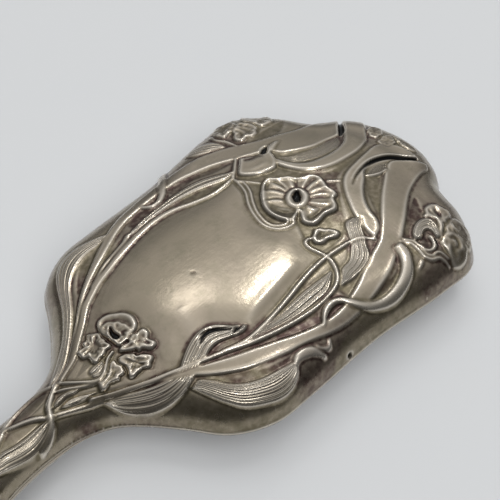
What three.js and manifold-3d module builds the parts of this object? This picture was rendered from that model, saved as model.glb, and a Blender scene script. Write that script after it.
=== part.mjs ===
// A vanity hairbrush: a stamped silver back and handle over a wooden stock drawn full of bristle.
// Millimetres, +Z up, +X towards the tip of the head, and Y = 0 is the plane of symmetry. The brush lies
// on its bristle tips at z = 0, and the origin is the tip of the tuft in the middle of the head.
import * as THREE from "three";
import { mergeVertices } from "three/addons/utils/BufferGeometryUtils.js";
import Module from "manifold-3d";

const wasm = await Module();
wasm.setup();

// Heights above the bristle tips.
const BRISTLE_LENGTH = 11; // tips to the face of the board
const BOARD_PROUD = 1; // the wood shows this much below the silver rim
const RIM_Z = BRISTLE_LENGTH + BOARD_PROUD;
const BOARD_BACK_Z = 16.5;
const COVER_THICKNESS = 1.6;

const GAP = 0.3; // between pieces that touch
const REACH = 60; // past the head to each side and over the back
const HANDLE_REACH = 200; // past the end of the handle
const CUT_BEYOND = 1; // how far a cut runs on past what it cuts
const SHEET = 0.7; // the silver, with its turned edge

const WIRE = { width: 1, depth: 0.8, overrun: 0.5 }; // on the back of the board, under its cover
const COVER_Z = BOARD_BACK_Z + WIRE.depth + 2 * GAP;

// The back rises from its rim in a quarter-elliptic roll, then in a low crown.
const ROLL_WIDTH = 9;
const HEAD_ROLL_HEIGHT = 8;
const HANDLE_ROLL_HEIGHT = 6.5;
const CROWN_HEIGHT = 3;
const CROWN_WIDTH = 28;
// The underside of the handle thins out towards the head.
const UNDERSIDE_DEPTH = 5.5;
const UNDERSIDE_HEAD_DEPTH = 1.4;

const NECK = { handleEnd: -105, thinnest: -82, headEnd: -60 };
const STOCK_END_X = -58; // where the wooden stock stops, inside the shoulder

// Half of the plan outline, as [x, half width] from the end of the handle to the tip of the head.
const HANDLE_POINTS = [
  [-177, 0],
  [-175.2, 6],
  [-169.5, 9.8],
  [-157, 11.6],
  [-142, 12.2],
  [-127, 12],
  [-113, 11.7],
  [-99, 9.7],
  [-87, 7],
  [-77.5, 6.6],
  [-71, 7.6],
  [-65, 10.4],
];
const SHOULDER_POINTS = [
  [-60, 15.6],
  [-55.5, 21.9],
];
const HEAD_POINTS = [
  [-50, 30],
  [-41.5, 35],
  [-30.5, 36.2],
  [-8.5, 37.5],
  [14, 41.1],
  [26.5, 41.4],
  [37.5, 31.9],
  [43, 21.8],
  [48.5, 17.1],
  [53, 10],
  [54.8, 0],
];

const BRISTLES = {
  rows: 11,
  rowPitch: 5.8,
  tuftPitch: 7,
  rootRadius: 1.2, // at the face of the board
  drawnRadius: 0.95, // where the wire holds the tuft
  tipRadius: 1.7,
  sides: 6,
  margin: 9.5, // from the outline to the nearest tuft
  endMargin: 10.5, // from the end of the stock to the nearest tuft
};

const PIN = { radius: 0.5, length: 4.6, height: 2, sides: 8 };
// [x, side] of each pin hole in the rim. The pin of the second hole on the -Y side is lost.
const PIN_SITES = [
  [-44, -1],
  [-18, -1],
  [8, -1],
  [33, -1],
  [54.8, 1],
  [33, 1],
  [8, 1],
  [-18, 1],
  [-44, 1],
];
const LOST_PIN = 1;

const STEPS = 58; // along the outline
const STRIPS = { back: 12, underside: 8 }; // across it

// ---- Outline ----

/** Half of a smooth closed outline through the points, evenly spaced, starting and ending on Y = 0. */
function halfOutline(points) {
  const mirrored = points.slice(1, -1).reverse().map(([x, w]) => [x, -w]);
  const loop = [...points, ...mirrored].map(([x, y]) => new THREE.Vector3(x, y, 0));
  const curve = new THREE.CatmullRomCurve3(loop, true, "centripetal");
  const half = curve.getSpacedPoints(2 * STEPS).slice(0, STEPS + 1);
  half[0].y = 0;
  half[STEPS].y = 0;
  return half.map((p) => new THREE.Vector2(p.x, p.y));
}

/** The unit normal of a half outline at point i, pointing out. */
function outwardNormal(half, i) {
  if (i === 0) return new THREE.Vector2(-1, 0);
  if (i === half.length - 1) return new THREE.Vector2(1, 0);
  const along = half[i + 1].clone().sub(half[i - 1]).normalize();
  return new THREE.Vector2(-along.y, along.x);
}

/** The half outline moved in by a distance. */
function inset(half, distance) {
  return half.map((p, i) => {
    const moved = p.clone().addScaledVector(outwardNormal(half, i), -distance);
    moved.y = Math.max(moved.y, 0);
    return moved;
  });
}

const wholeHalf = halfOutline([...HANDLE_POINTS, ...SHOULDER_POINTS, ...HEAD_POINTS]);

function distanceToSegment(p, a, b) {
  const ab = b.clone().sub(a);
  const share = THREE.MathUtils.clamp(p.clone().sub(a).dot(ab) / ab.lengthSq(), 0, 1);
  return p.distanceTo(a.clone().addScaledVector(ab, share));
}

/** How far a plan point inside the brush lies from its outline. */
function depthInside(x, y) {
  const p = new THREE.Vector2(x, Math.abs(y));
  let least = Infinity;
  for (let i = 0; i + 1 < wholeHalf.length; i++) {
    least = Math.min(least, distanceToSegment(p, wholeHalf[i], wholeHalf[i + 1]));
  }
  return least;
}

/** The outline's half width at x. */
function halfWidth(x) {
  const i = wholeHalf.findIndex((p, k) => k > 0 && p.x >= x);
  if (i < 0) return 0;
  const [a, b] = [wholeHalf[i - 1], wholeHalf[i]];
  return THREE.MathUtils.lerp(a.y, b.y, (x - a.x) / (b.x - a.x));
}

// ---- Heights ----

function rollWidth(x) {
  const inNeck = x > NECK.handleEnd && x < NECK.headEnd;
  return inNeck ? Math.min(ROLL_WIDTH, halfWidth(x)) : ROLL_WIDTH;
}

/** A quarter ellipse that starts at the offset from the outline and levels off at the roll's width. */
function roll(depth, width, height, offset) {
  const share = THREE.MathUtils.clamp((depth - offset) / (width - offset), 0, 1);
  return (height - offset) * Math.sqrt(1 - (1 - share) ** 2);
}

function crown(depth) {
  const share = THREE.MathUtils.clamp((depth - ROLL_WIDTH) / CROWN_WIDTH, 0, 1);
  return CROWN_HEIGHT * (1 - (1 - share) ** 2);
}

/** Height of the back at a plan point, or of the surface that lies the offset inside it. */
function backZ(x, y, offset = 0) {
  const depth = depthInside(x, y);
  const share = THREE.MathUtils.smoothstep(x, NECK.thinnest, NECK.headEnd);
  const height = THREE.MathUtils.lerp(HANDLE_ROLL_HEIGHT, HEAD_ROLL_HEIGHT, share);
  return RIM_Z + roll(depth, rollWidth(x), height, offset) + crown(depth);
}

/** Height of the handle's underside, or of the surface that lies the offset inside it. */
function undersideZ(x, y, offset = 0) {
  const share = THREE.MathUtils.smoothstep(x, NECK.thinnest, NECK.headEnd);
  const drop = THREE.MathUtils.lerp(UNDERSIDE_DEPTH, UNDERSIDE_HEAD_DEPTH, share);
  return RIM_Z - GAP - roll(depthInside(x, y), rollWidth(x), drop, offset);
}

// ---- Solids ----

/** Rows of points over a half outline and its mirror image, closer together near the edge. */
function surface(half, heightAt, strips) {
  return half.map((p) => {
    const row = [];
    for (let j = 0; j <= strips; j++) {
      const y = p.y * Math.sin((j / strips - 0.5) * Math.PI);
      row.push(new THREE.Vector3(p.x, y, heightAt(p.x, y)));
    }
    return row;
  });
}

/** A surface's rows drawn in to a smaller half outline and lifted, so that its facets stay parallel. */
function clearOf(rows, half, lift) {
  const drawnIn = surface(half, () => 0, rows[0].length - 1);
  return drawnIn.map((row, i) => row.map((p, j) => p.setZ(rows[i][j].z + lift)));
}

/** The closed body between an upper and a lower surface with the same rows. */
function bodyBetween(upper, lower) {
  const positions = [];
  const face = (...corners) => corners.forEach((p) => positions.push(p.x, p.y, p.z));
  const quad = (a, b, c, d) => {
    face(a, b, c);
    face(a, c, d);
  };
  const last = upper[0].length - 1;
  for (let i = 0; i + 1 < upper.length; i++) {
    for (let j = 0; j < last; j++) {
      quad(upper[i][j], upper[i + 1][j], upper[i + 1][j + 1], upper[i][j + 1]);
      quad(lower[i][j], lower[i][j + 1], lower[i + 1][j + 1], lower[i + 1][j]);
    }
    quad(lower[i][0], lower[i + 1][0], upper[i + 1][0], upper[i][0]);
    quad(upper[i][last], upper[i + 1][last], lower[i + 1][last], lower[i][last]);
  }
  const geometry = new THREE.BufferGeometry();
  geometry.setAttribute("position", new THREE.Float32BufferAttribute(positions, 3));
  return solid(geometry);
}

/** A three.js geometry as a solid that can be joined and cut. */
function solid(geometry) {
  const bare = geometry.clone();
  bare.deleteAttribute("normal");
  bare.deleteAttribute("uv");
  const merged = mergeVertices(bare, 1e-4);
  const corners = merged.index.array;
  const triVerts = [];
  for (let i = 0; i < corners.length; i += 3) {
    const [a, b, c] = corners.slice(i, i + 3);
    if (a !== b && b !== c && c !== a) triVerts.push(a, b, c);
  }
  const vertProperties = merged.attributes.position.array;
  const mesh = new wasm.Mesh({ numProp: 3, vertProperties, triVerts: new Uint32Array(triVerts) });
  return new wasm.Manifold(mesh);
}

function geometryOf(body) {
  const { vertProperties, triVerts } = body.getMesh();
  const geometry = new THREE.BufferGeometry();
  geometry.setAttribute("position", new THREE.BufferAttribute(vertProperties, 3));
  geometry.setIndex(new THREE.BufferAttribute(triVerts, 1));
  geometry.computeVertexNormals();
  return geometry;
}

function box(lowest, highest) {
  const size = highest.map((value, i) => value - lowest[i]);
  const geometry = new THREE.BoxGeometry(...size);
  return geometry.translate(...highest.map((value, i) => (value + lowest[i]) / 2));
}

/** An upright tapered post from z = low to z = high. */
function post(x, y, low, high, lowRadius, highRadius) {
  const geometry = new THREE.CylinderGeometry(highRadius, lowRadius, high - low, BRISTLES.sides);
  return geometry.rotateX(Math.PI / 2).translate(x, y, (low + high) / 2);
}

// ---- Silver ----

/** The inner face of the stamped back. */
function backLining() {
  return surface(inset(wholeHalf, SHEET), (x, y) => backZ(x, y, SHEET), STRIPS.back);
}

function silverBack() {
  const outer = surface(wholeHalf, (x, y) => backZ(x, y), STRIPS.back);
  return cutPinHoles(bodyBetween(outer, backLining()));
}

/** The inner face of the underside. */
function undersideLining() {
  return surface(inset(wholeHalf, SHEET), (x, y) => undersideZ(x, y, SHEET), STRIPS.underside);
}

function handleUnderside() {
  const outer = surface(wholeHalf, (x, y) => undersideZ(x, y), STRIPS.underside);
  return inHandle(bodyBetween(undersideLining(), outer));
}

/** The stretch of a body that lies in the handle, short of the stock. */
function inHandle(body) {
  return body.intersect(solid(box([-HANDLE_REACH, -REACH, 0], [STOCK_END_X - GAP, REACH, REACH])));
}

// ---- Wood and filler ----

/** The room under the back, clear of the silver by the gap and open downwards. */
function roomUnderBack() {
  const half = inset(wholeHalf, SHEET + GAP);
  const ceiling = clearOf(backLining(), half, -GAP);
  return bodyBetween(ceiling, surface(half, () => 0, STRIPS.back));
}

/** What fills the room between two lengths and two heights. */
function roomFiller(fromX, toX, low, high) {
  const lowest = [fromX, -REACH, low];
  return roomUnderBack().intersect(solid(box(lowest, [toX, REACH, high])));
}

function bristleBoard() {
  const radius = BRISTLES.rootRadius + GAP;
  let board = cutPinHoles(roomFiller(STOCK_END_X, REACH, BRISTLE_LENGTH, BOARD_BACK_Z));
  for (const row of tuftRows()) {
    for (const x of row.xs) {
      const hole = post(x, row.y, BRISTLE_LENGTH - CUT_BEYOND, BOARD_BACK_Z + CUT_BEYOND, radius, radius);
      board = board.subtract(solid(hole));
    }
  }
  return board;
}

function coverBoard() {
  return roomFiller(STOCK_END_X, REACH, COVER_Z, COVER_Z + COVER_THICKNESS);
}

function headFiller() {
  return roomFiller(STOCK_END_X, REACH, COVER_Z + COVER_THICKNESS + GAP, REACH);
}

/** The wood inside the handle, between the back and the underside. */
function handleCore() {
  const half = inset(wholeHalf, SHEET + GAP);
  const ceiling = surface(half, () => REACH, STRIPS.underside);
  const roomOverUnderside = bodyBetween(ceiling, clearOf(undersideLining(), half, GAP));
  return inHandle(roomUnderBack().intersect(roomOverUnderside));
}

// ---- Bristles ----

/** The rows of tufts, as { y, xs }. Every second row is shifted by half a pitch. */
function tuftRows() {
  const { rows, rowPitch, tuftPitch, margin, endMargin } = BRISTLES;
  return Array.from({ length: rows }, (_, row) => {
    const k = row - (rows - 1) / 2;
    const y = k * rowPitch;
    const shift = k % 2 === 0 ? 0 : tuftPitch / 2;
    const most = Math.ceil(REACH / tuftPitch);
    const xs = [];
    for (let n = -most; n <= most; n++) {
      const x = n * tuftPitch + shift;
      const inHead = x > STOCK_END_X + endMargin;
      if (inHead && Math.abs(y) < halfWidth(x) && depthInside(x, y) > margin) xs.push(x);
    }
    return { y, xs };
  });
}

/** One row of tufts with the wire that draws them into the board. */
function bristleRow(row) {
  const beyond = BRISTLES.rootRadius + WIRE.overrun;
  const [from, to] = [row.xs[0] - beyond, row.xs.at(-1) + beyond];
  const wireZ = BOARD_BACK_Z + GAP;
  const halfWire = WIRE.width / 2;
  const { tipRadius, drawnRadius } = BRISTLES;
  let body = solid(box([from, row.y - halfWire, wireZ], [to, row.y + halfWire, wireZ + WIRE.depth]));
  for (const x of row.xs) {
    body = body.add(solid(post(x, row.y, 0, wireZ + WIRE.depth / 2, tipRadius, drawnRadius)));
  }
  return body;
}

// ---- Rim pins ----

/** Where a pin enters the rim, and the direction that points straight into the wood. */
function pinPlace([x, side]) {
  const last = wholeHalf.length - 1;
  const i = wholeHalf.findIndex((p, k) => k === last || p.x >= x);
  const inward = outwardNormal(wholeHalf, i).negate();
  const entry = i === last ? wholeHalf[last] : new THREE.Vector2(x, halfWidth(x));
  return {
    entry: new THREE.Vector3(entry.x, side * entry.y, RIM_Z + PIN.height),
    inward: new THREE.Vector3(inward.x, side * inward.y, 0),
  };
}

/** A rod along a pin's line, from one depth to another. */
function pinRod(site, radius, from, to) {
  const { entry, inward } = pinPlace(site);
  const geometry = new THREE.CylinderGeometry(radius, radius, to - from, PIN.sides);
  geometry.applyQuaternion(new THREE.Quaternion().setFromUnitVectors(new THREE.Vector3(0, 1, 0), inward));
  const middle = entry.addScaledVector(inward, (from + to) / 2);
  return geometry.translate(middle.x, middle.y, middle.z);
}

function cutPinHoles(body) {
  return PIN_SITES.reduce((rest, site) => {
    const hole = pinRod(site, PIN.radius + GAP, -CUT_BEYOND, PIN.length + 2 * GAP);
    return rest.subtract(solid(hole));
  }, body);
}

function rimPin(site) {
  const flush = ROLL_WIDTH * (1 - Math.sqrt(1 - (PIN.height / HEAD_ROLL_HEIGHT) ** 2));
  return solid(pinRod(site, PIN.radius, flush, PIN.length));
}

// ---- Assembly ----

const MATERIALS = {
  silver: { color: 0xa39e96, roughness: 0.34, metalness: 1 },
  pinSilver: { color: 0xb5b1aa, roughness: 0.3, metalness: 1 },
  wood: { color: 0x4a2f1d, roughness: 0.55, metalness: 0 },
  paleWood: { color: 0x9c7a50, roughness: 0.7, metalness: 0 },
  pitch: { color: 0x1b1714, roughness: 0.8, metalness: 0 },
  bristle: { color: 0xcfc2a4, roughness: 0.6, metalness: 0 },
};

const brush = new THREE.Group();

function addPiece(group, name, body, material) {
  const piece = new THREE.Mesh(geometryOf(body), new THREE.MeshStandardMaterial(MATERIALS[material]));
  piece.name = name;
  group.add(piece);
}

function twoDigits(number) {
  return String(number).padStart(2, "0");
}

const silver = new THREE.Group();
addPiece(silver, "silver_back", silverBack(), "silver");
addPiece(silver, "handle_underside", handleUnderside(), "silver");
const pinSites = PIN_SITES.filter((_, i) => i !== LOST_PIN);
pinSites.forEach((site, i) => addPiece(silver, "rim_pin_" + twoDigits(i + 1), rimPin(site), "pinSilver"));

const stock = new THREE.Group();
addPiece(stock, "bristle_board", bristleBoard(), "wood");
addPiece(stock, "cover_board", coverBoard(), "paleWood");
addPiece(stock, "handle_core", handleCore(), "paleWood");
addPiece(stock, "head_filler", headFiller(), "pitch");

const bristles = new THREE.Group();
tuftRows().forEach((row, i) => {
  addPiece(bristles, "bristle_row_" + twoDigits(i + 1), bristleRow(row), "bristle");
});

brush.add(silver, stock, bristles);

export default brush;
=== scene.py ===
"""Looks of a vanity hairbrush: a stamped, tarnished silver back in relief over a wooden stock of bristles."""
import math

import bpy
import numpy as np
from mathutils import Matrix, Vector
from mathutils.geometry import tessellate_polygon


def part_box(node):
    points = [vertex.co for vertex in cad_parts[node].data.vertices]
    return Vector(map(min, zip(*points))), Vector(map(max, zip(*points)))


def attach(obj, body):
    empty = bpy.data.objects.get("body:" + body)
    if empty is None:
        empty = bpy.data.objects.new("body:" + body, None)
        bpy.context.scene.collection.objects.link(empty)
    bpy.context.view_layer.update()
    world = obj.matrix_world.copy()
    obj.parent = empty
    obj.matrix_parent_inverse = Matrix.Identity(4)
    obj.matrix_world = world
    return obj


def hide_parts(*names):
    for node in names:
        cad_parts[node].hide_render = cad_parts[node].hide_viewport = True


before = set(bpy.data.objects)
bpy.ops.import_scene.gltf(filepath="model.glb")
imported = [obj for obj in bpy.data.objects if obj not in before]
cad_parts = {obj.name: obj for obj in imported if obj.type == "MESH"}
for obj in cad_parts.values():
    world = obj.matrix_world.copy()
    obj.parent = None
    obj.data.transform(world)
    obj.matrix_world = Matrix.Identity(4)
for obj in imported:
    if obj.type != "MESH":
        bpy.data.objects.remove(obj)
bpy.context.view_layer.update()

MM = 0.001  # everything below is worked out in millimetres
TINY = 1e-9  # keeps a division away from 0
RNG = np.random.default_rng(11)

# ---------------------------------------------------------------- shape of the brush

RIM_Z = 12.0
ROLL_WIDTH = 9.0
HEAD_ROLL_HEIGHT = 8.0
HANDLE_ROLL_HEIGHT = 6.5
CROWN_HEIGHT = 3.0
CROWN_WIDTH = 28.0
UNDERSIDE_DEPTH = 5.5
UNDERSIDE_HEAD_DEPTH = 1.4
NECK_HANDLE_END, NECK_THINNEST, NECK_HEAD_END = -105.0, -82.0, -60.0
STOCK_END_X = -58.0
SEAM_GAP = 0.3
VISIBLE_SEAM = 0.06  # the two halves of the handle are soldered
OUTLINE_SLACK = 0.2  # a point this little outside the outline counts as on it
SECTION_SAMPLES = 161  # across the brush, to measure a cross-section

# Half of the plan outline, (x, half width), as the CAD part has it.
HALF_OUTLINE = [
    (-177, 0), (-175.2, 6), (-169.5, 9.8), (-157, 11.6), (-142, 12.2), (-127, 12), (-113, 11.7),
    (-99, 9.7), (-87, 7), (-77.5, 6.6), (-71, 7.6), (-65, 10.4), (-60, 15.6), (-55.5, 21.9),
    (-50, 30), (-41.5, 35), (-30.5, 36.2), (-8.5, 37.5), (14, 41.1), (26.5, 41.4), (37.5, 31.9),
    (43, 21.8), (48.5, 17.1), (53, 10), (54.8, 0),
]


def unit(vectors):
    """Vectors made 1 long, along the last axis."""
    return vectors / np.maximum(np.linalg.norm(vectors, axis=-1, keepdims=True), TINY)


def running_length(line):
    """How far along a line each of its points is."""
    return np.r_[0, np.cumsum(np.hypot(*np.diff(line, axis=0).T))]


def points_along(line, at):
    """The points at these distances along a line."""
    run = running_length(line)
    return np.column_stack([np.interp(at, run, line[:, axis]) for axis in (0, 1)])


def spline(points, step=0.5, closed=False):
    """A centripetal Catmull-Rom curve through the points, as points about a step apart."""
    p = np.array(points, float)
    if closed:
        p = np.vstack([p[-1], p, p[0], p[1]])
    else:
        p = np.vstack([2 * p[0] - p[1], p, 2 * p[-1] - p[-2]])
    pieces = []
    for p0, p1, p2, p3 in zip(p[:-3], p[1:-2], p[2:-1], p[3:]):
        a, b, c = (max(math.sqrt(np.linalg.norm(v)), 1e-3) for v in (p1 - p0, p2 - p1, p3 - p2))
        m1 = ((p1 - p0) / a - (p2 - p0) / (a + b) + (p2 - p1) / b) * b
        m2 = ((p2 - p1) / b - (p3 - p1) / (b + c) + (p3 - p2) / c) * b
        t = np.linspace(0, 1, 25)[:-1, None]
        pieces.append(
            (2 * t**3 - 3 * t**2 + 1) * p1 + (t**3 - 2 * t**2 + t) * m1
            + (3 * t**2 - 2 * t**3) * p2 + (t**3 - t**2) * m2
        )
    curve = np.vstack(pieces + [p[-2:-1]])
    length = running_length(curve)[-1]
    steps = max(int(round(length / step)), 2)
    return points_along(curve, np.linspace(0, length, steps + 1))


def half_outline(step):
    """The curve through HALF_OUTLINE, which meets its mirror image squarely at both ends."""
    mirrored = [(x, -w) for x, w in HALF_OUTLINE[-2:0:-1]]
    loop = spline(HALF_OUTLINE + mirrored, step, closed=True)
    half = loop[: len(loop) // 2 + 1].copy()
    half[0] = HALF_OUTLINE[0]
    half[-1] = HALF_OUTLINE[-1]
    return half


COARSE_HALF = half_outline(1.0)


def distance_to_polyline(x, y, line):
    """Each point's distance from a line, the run along the line there, and 1 if it lies to the left or -1."""
    best = np.full(x.shape, 1e9)
    along = np.zeros(x.shape)
    side = np.zeros(x.shape)
    run = 0.0
    for (ax, ay), (bx, by) in zip(line[:-1], line[1:]):
        ux, uy = bx - ax, by - ay
        length2 = ux * ux + uy * uy
        if length2 == 0:
            continue
        t = np.clip(((x - ax) * ux + (y - ay) * uy) / length2, 0, 1)
        dx, dy = x - ax - t * ux, y - ay - t * uy
        distance = np.hypot(dx, dy)
        near = distance < best
        best[near] = distance[near]
        length = math.sqrt(length2)
        along[near] = run + t[near] * length
        side[near] = np.sign(ux * dy - uy * dx)[near]
        run += length
    return best, along, side


def inside_polygon(x, y, outline):
    """Whether each point is inside a closed outline."""
    inside = np.zeros(x.shape, bool)
    for (ax, ay), (bx, by) in zip(outline, np.roll(outline, -1, axis=0)):
        if ay == by:
            continue
        crosses = (ay > y) != (by > y)
        inside ^= crosses & (x < (bx - ax) * (y - ay) / (by - ay) + ax)
    return inside


def inside_sign(x, y, outline):
    """1 for points inside a closed outline, -1 for the others."""
    return np.where(inside_polygon(x, y, outline), 1, -1)


def half_width(x):
    return np.interp(x, COARSE_HALF[:, 0], COARSE_HALF[:, 1])


def depth_inside(x, y):
    """Distance from the outline, and 0 for points a hair outside it."""
    distance, _, side = distance_to_polyline(x, np.abs(y), COARSE_HALF)
    return np.where((distance < OUTLINE_SLACK) & (side > 0), 0, distance)


def smoothstep(value, low, high):
    t = np.clip((value - low) / (high - low), 0, 1)
    return t * t * (3 - 2 * t)


def bell(value, middle, width):
    """1 at the middle, falling off on both sides."""
    return np.exp(-(((value - middle) / width) ** 2))


def domed(value, reach):
    """Rises from 0 to 1 over the reach and levels off there."""
    return 1 - (1 - np.clip(value / reach, 0, 1)) ** 2


def roll(depth, width, height):
    """Height of a quarter-round edge."""
    share = np.clip(depth / width, 0, 1)
    return height * np.sqrt(1 - (1 - share) ** 2)


def roll_width(x):
    """The neck is narrower than two rolls, so there the roll takes up half of it."""
    in_neck = (x > NECK_HANDLE_END) & (x < NECK_HEAD_END)
    return np.where(in_neck, np.minimum(ROLL_WIDTH, half_width(x)), ROLL_WIDTH)


def neck_blend(x, on_handle, on_head):
    """A size that changes from the handle's to the head's along the neck."""
    return on_handle + (on_head - on_handle) * smoothstep(x, NECK_THINNEST, NECK_HEAD_END)


def crown(depth):
    return CROWN_HEIGHT * domed(depth - ROLL_WIDTH, CROWN_WIDTH)


def back_height(x, y):
    depth = depth_inside(x, y)
    height = neck_blend(x, HANDLE_ROLL_HEIGHT, HEAD_ROLL_HEIGHT)
    return RIM_Z + roll(depth, roll_width(x), height) + crown(depth)


def underside_height(x, y):
    drop = neck_blend(x, UNDERSIDE_DEPTH, UNDERSIDE_HEAD_DEPTH)
    return RIM_Z - SEAM_GAP - roll(depth_inside(x, y), roll_width(x), drop)


# ---------------------------------------------------------------- surface grids


def sheet_grid(half, strips, height, edge_z):
    """Points (station, strip, xyz) over the outline, evenly spaced along each cross-section."""
    fine = np.sin(np.linspace(-0.5, 0.5, SECTION_SAMPLES) * math.pi)
    x = np.repeat(half[:, :1], len(fine), axis=1)
    y = half[:, 1:] * fine
    z = height(x, y)
    run = np.cumsum(np.hypot(np.diff(y, axis=1), np.diff(z, axis=1)), axis=1)
    run = np.column_stack([np.zeros(len(run)), run])
    grid = np.zeros((len(half), strips + 1, 3))
    for i in range(len(half)):
        at = np.linspace(0, run[i, -1], strips + 1)
        grid[i, :, 0] = half[i, 0]
        grid[i, :, 1] = np.interp(at, run[i], y[i])
    grid[:, :, 2] = height(grid[:, :, 0], grid[:, :, 1])
    grid[:, [0, -1], 2] = edge_z
    grid[[0, -1], :, 2] = edge_z
    return grid


def grid_normals(grid):
    """Unit normals of a grid. At its two end stations they point along the brush."""
    normals = unit(np.cross(np.gradient(grid, axis=0), np.gradient(grid, axis=1)))
    normals[0] = (-1, 0, 0)
    normals[-1] = (1, 0, 0)
    return normals


def smoothed(values, rounds):
    """Values averaged with their neighbours, again and again."""
    for axis in (0, 1) * rounds:
        rows = np.swapaxes(values, 0, axis)
        padded = np.pad(rows, ((1, 1), (0, 0)), mode="edge")
        values = np.swapaxes((padded[:-2] + 2 * rows + padded[2:]) / 4, 0, axis)
    return values


def box_blurred(values, radius):
    """Three box blurs along each axis, which together are close to a Gaussian."""
    size = 2 * radius + 1
    for axis in (0, 1) * 3:
        rows = np.swapaxes(values, 0, axis)
        run = np.cumsum(np.pad(rows, ((radius + 1, radius), (0, 0)), mode="edge"), axis=0)
        values = np.swapaxes((run[size:] - run[:-size]) / size, 0, axis)
    return values


def grid_ids(stations, strips, first=0):
    """Vertex numbers of a grid whose first and last stations are one point each."""
    ids = np.zeros((stations, strips + 1), int)
    ids[0] = first
    inner = (stations - 2) * (strips + 1)
    ids[1:-1] = first + 1 + np.arange(inner).reshape(stations - 2, strips + 1)
    ids[-1] = first + 1 + inner
    return ids


def grid_points(grid):
    """Points, or values, of a grid in the order of grid_ids."""
    return np.concatenate([grid[:1, 0], grid[1:-1].reshape(-1, *grid.shape[2:]), grid[-1:, 0]])


def without_repeats(ring):
    """A face's corners, each once where neighbours fall on one vertex."""
    return [v for k, v in enumerate(ring) if v != ring[k - 1]]


def add_face(faces, ring, flip):
    """Adds a face, turned over where flip says so, unless it has shrunk to a line."""
    ring = without_repeats(ring)
    if len(ring) > 2:
        faces.append(ring[::-1] if flip else ring)


def grid_faces(ids, flip=False):
    a, b, c, d = ids[:-1, :-1], ids[1:, :-1], ids[1:, 1:], ids[:-1, 1:]
    faces = []
    for quad in np.stack([a, b, c, d], axis=-1).reshape(-1, 4).tolist():
        add_face(faces, quad, flip)
    return faces


def add_object(name, data):
    thing = bpy.data.objects.new(name, data)
    bpy.context.scene.collection.objects.link(thing)
    return thing


def make_mesh(name, points_mm, faces):
    mesh = bpy.data.meshes.new(name)
    mesh.from_pydata((np.asarray(points_mm) * MM).tolist(), [], faces)
    mesh.update()
    mesh.shade_smooth()
    return add_object(name, mesh)


def closed_sheet(name, outer, normals, thickness, coarse):
    """A closed shell: a fine outer grid, an inner skin of every few points and a stitched rim."""
    outer_ids = grid_ids(outer.shape[0], outer.shape[1] - 1)
    points = grid_points(outer)
    faces = grid_faces(outer_ids)
    rows = np.r_[0:outer.shape[0]:coarse]
    columns = np.r_[0:outer.shape[1]:coarse]
    inward = -normals[rows][:, columns]
    inward[:, [0, -1], 2] = 0
    inner = outer[rows][:, columns] + thickness * unit(inward)
    inner_ids = grid_ids(inner.shape[0], inner.shape[1] - 1, first=len(points))
    faces += grid_faces(inner_ids, flip=True)
    for column, flip in ((0, False), (-1, True)):
        for k in range(len(rows) - 1):
            fine = outer_ids[rows[k]: rows[k + 1] + 1, column].tolist()
            add_face(faces, fine[::-1] + inner_ids[k: k + 2, column].tolist(), flip)
    return make_mesh(name, np.vstack([points, grid_points(inner)]), faces)


def open_end_sheet(name, outer, thickness):
    """A closed shell whose first station is a point and whose last is the open end of a trough."""
    stations, strips = outer.shape[:2]
    inward = grid_normals(outer)
    inward[-1] = inward[-2]
    inward[:, [0, -1], 2] = 0
    inner = outer + thickness * unit(inward)
    inner[:, :, 2] = np.minimum(inner[:, :, 2], RIM_Z - VISIBLE_SEAM)
    count = (stations - 1) * strips
    ids = np.zeros((2, stations, strips), int)
    for skin in (0, 1):
        ids[skin, 0] = skin
        ids[skin, 1:] = 2 + skin * count + np.arange(count).reshape(stations - 1, strips)
    points = np.vstack([outer[:1, 0], inner[:1, 0], outer[1:].reshape(-1, 3), inner[1:].reshape(-1, 3)])
    faces = grid_faces(ids[0], flip=True) + grid_faces(ids[1])
    low, high = ids.tolist()
    for i in range(stations - 1):
        faces.append([low[i][0], low[i + 1][0], high[i + 1][0], high[i][0]])
        faces.append([high[i][-1], high[i + 1][-1], low[i + 1][-1], low[i][-1]])
    for j in range(strips - 1):
        faces.append([low[-1][j], low[-1][j + 1], high[-1][j + 1], high[-1][j]])
    return make_mesh(name, points, faces)


def set_attribute(piece, name, values):
    """Gives the first vertices these values and the others 0."""
    layer = piece.data.attributes.new(name, "FLOAT", "POINT")
    full = np.zeros(len(piece.data.vertices), np.float32)
    full[: len(values)] = values
    layer.data.foreach_set("value", full)


# ---------------------------------------------------------------- relief


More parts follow.
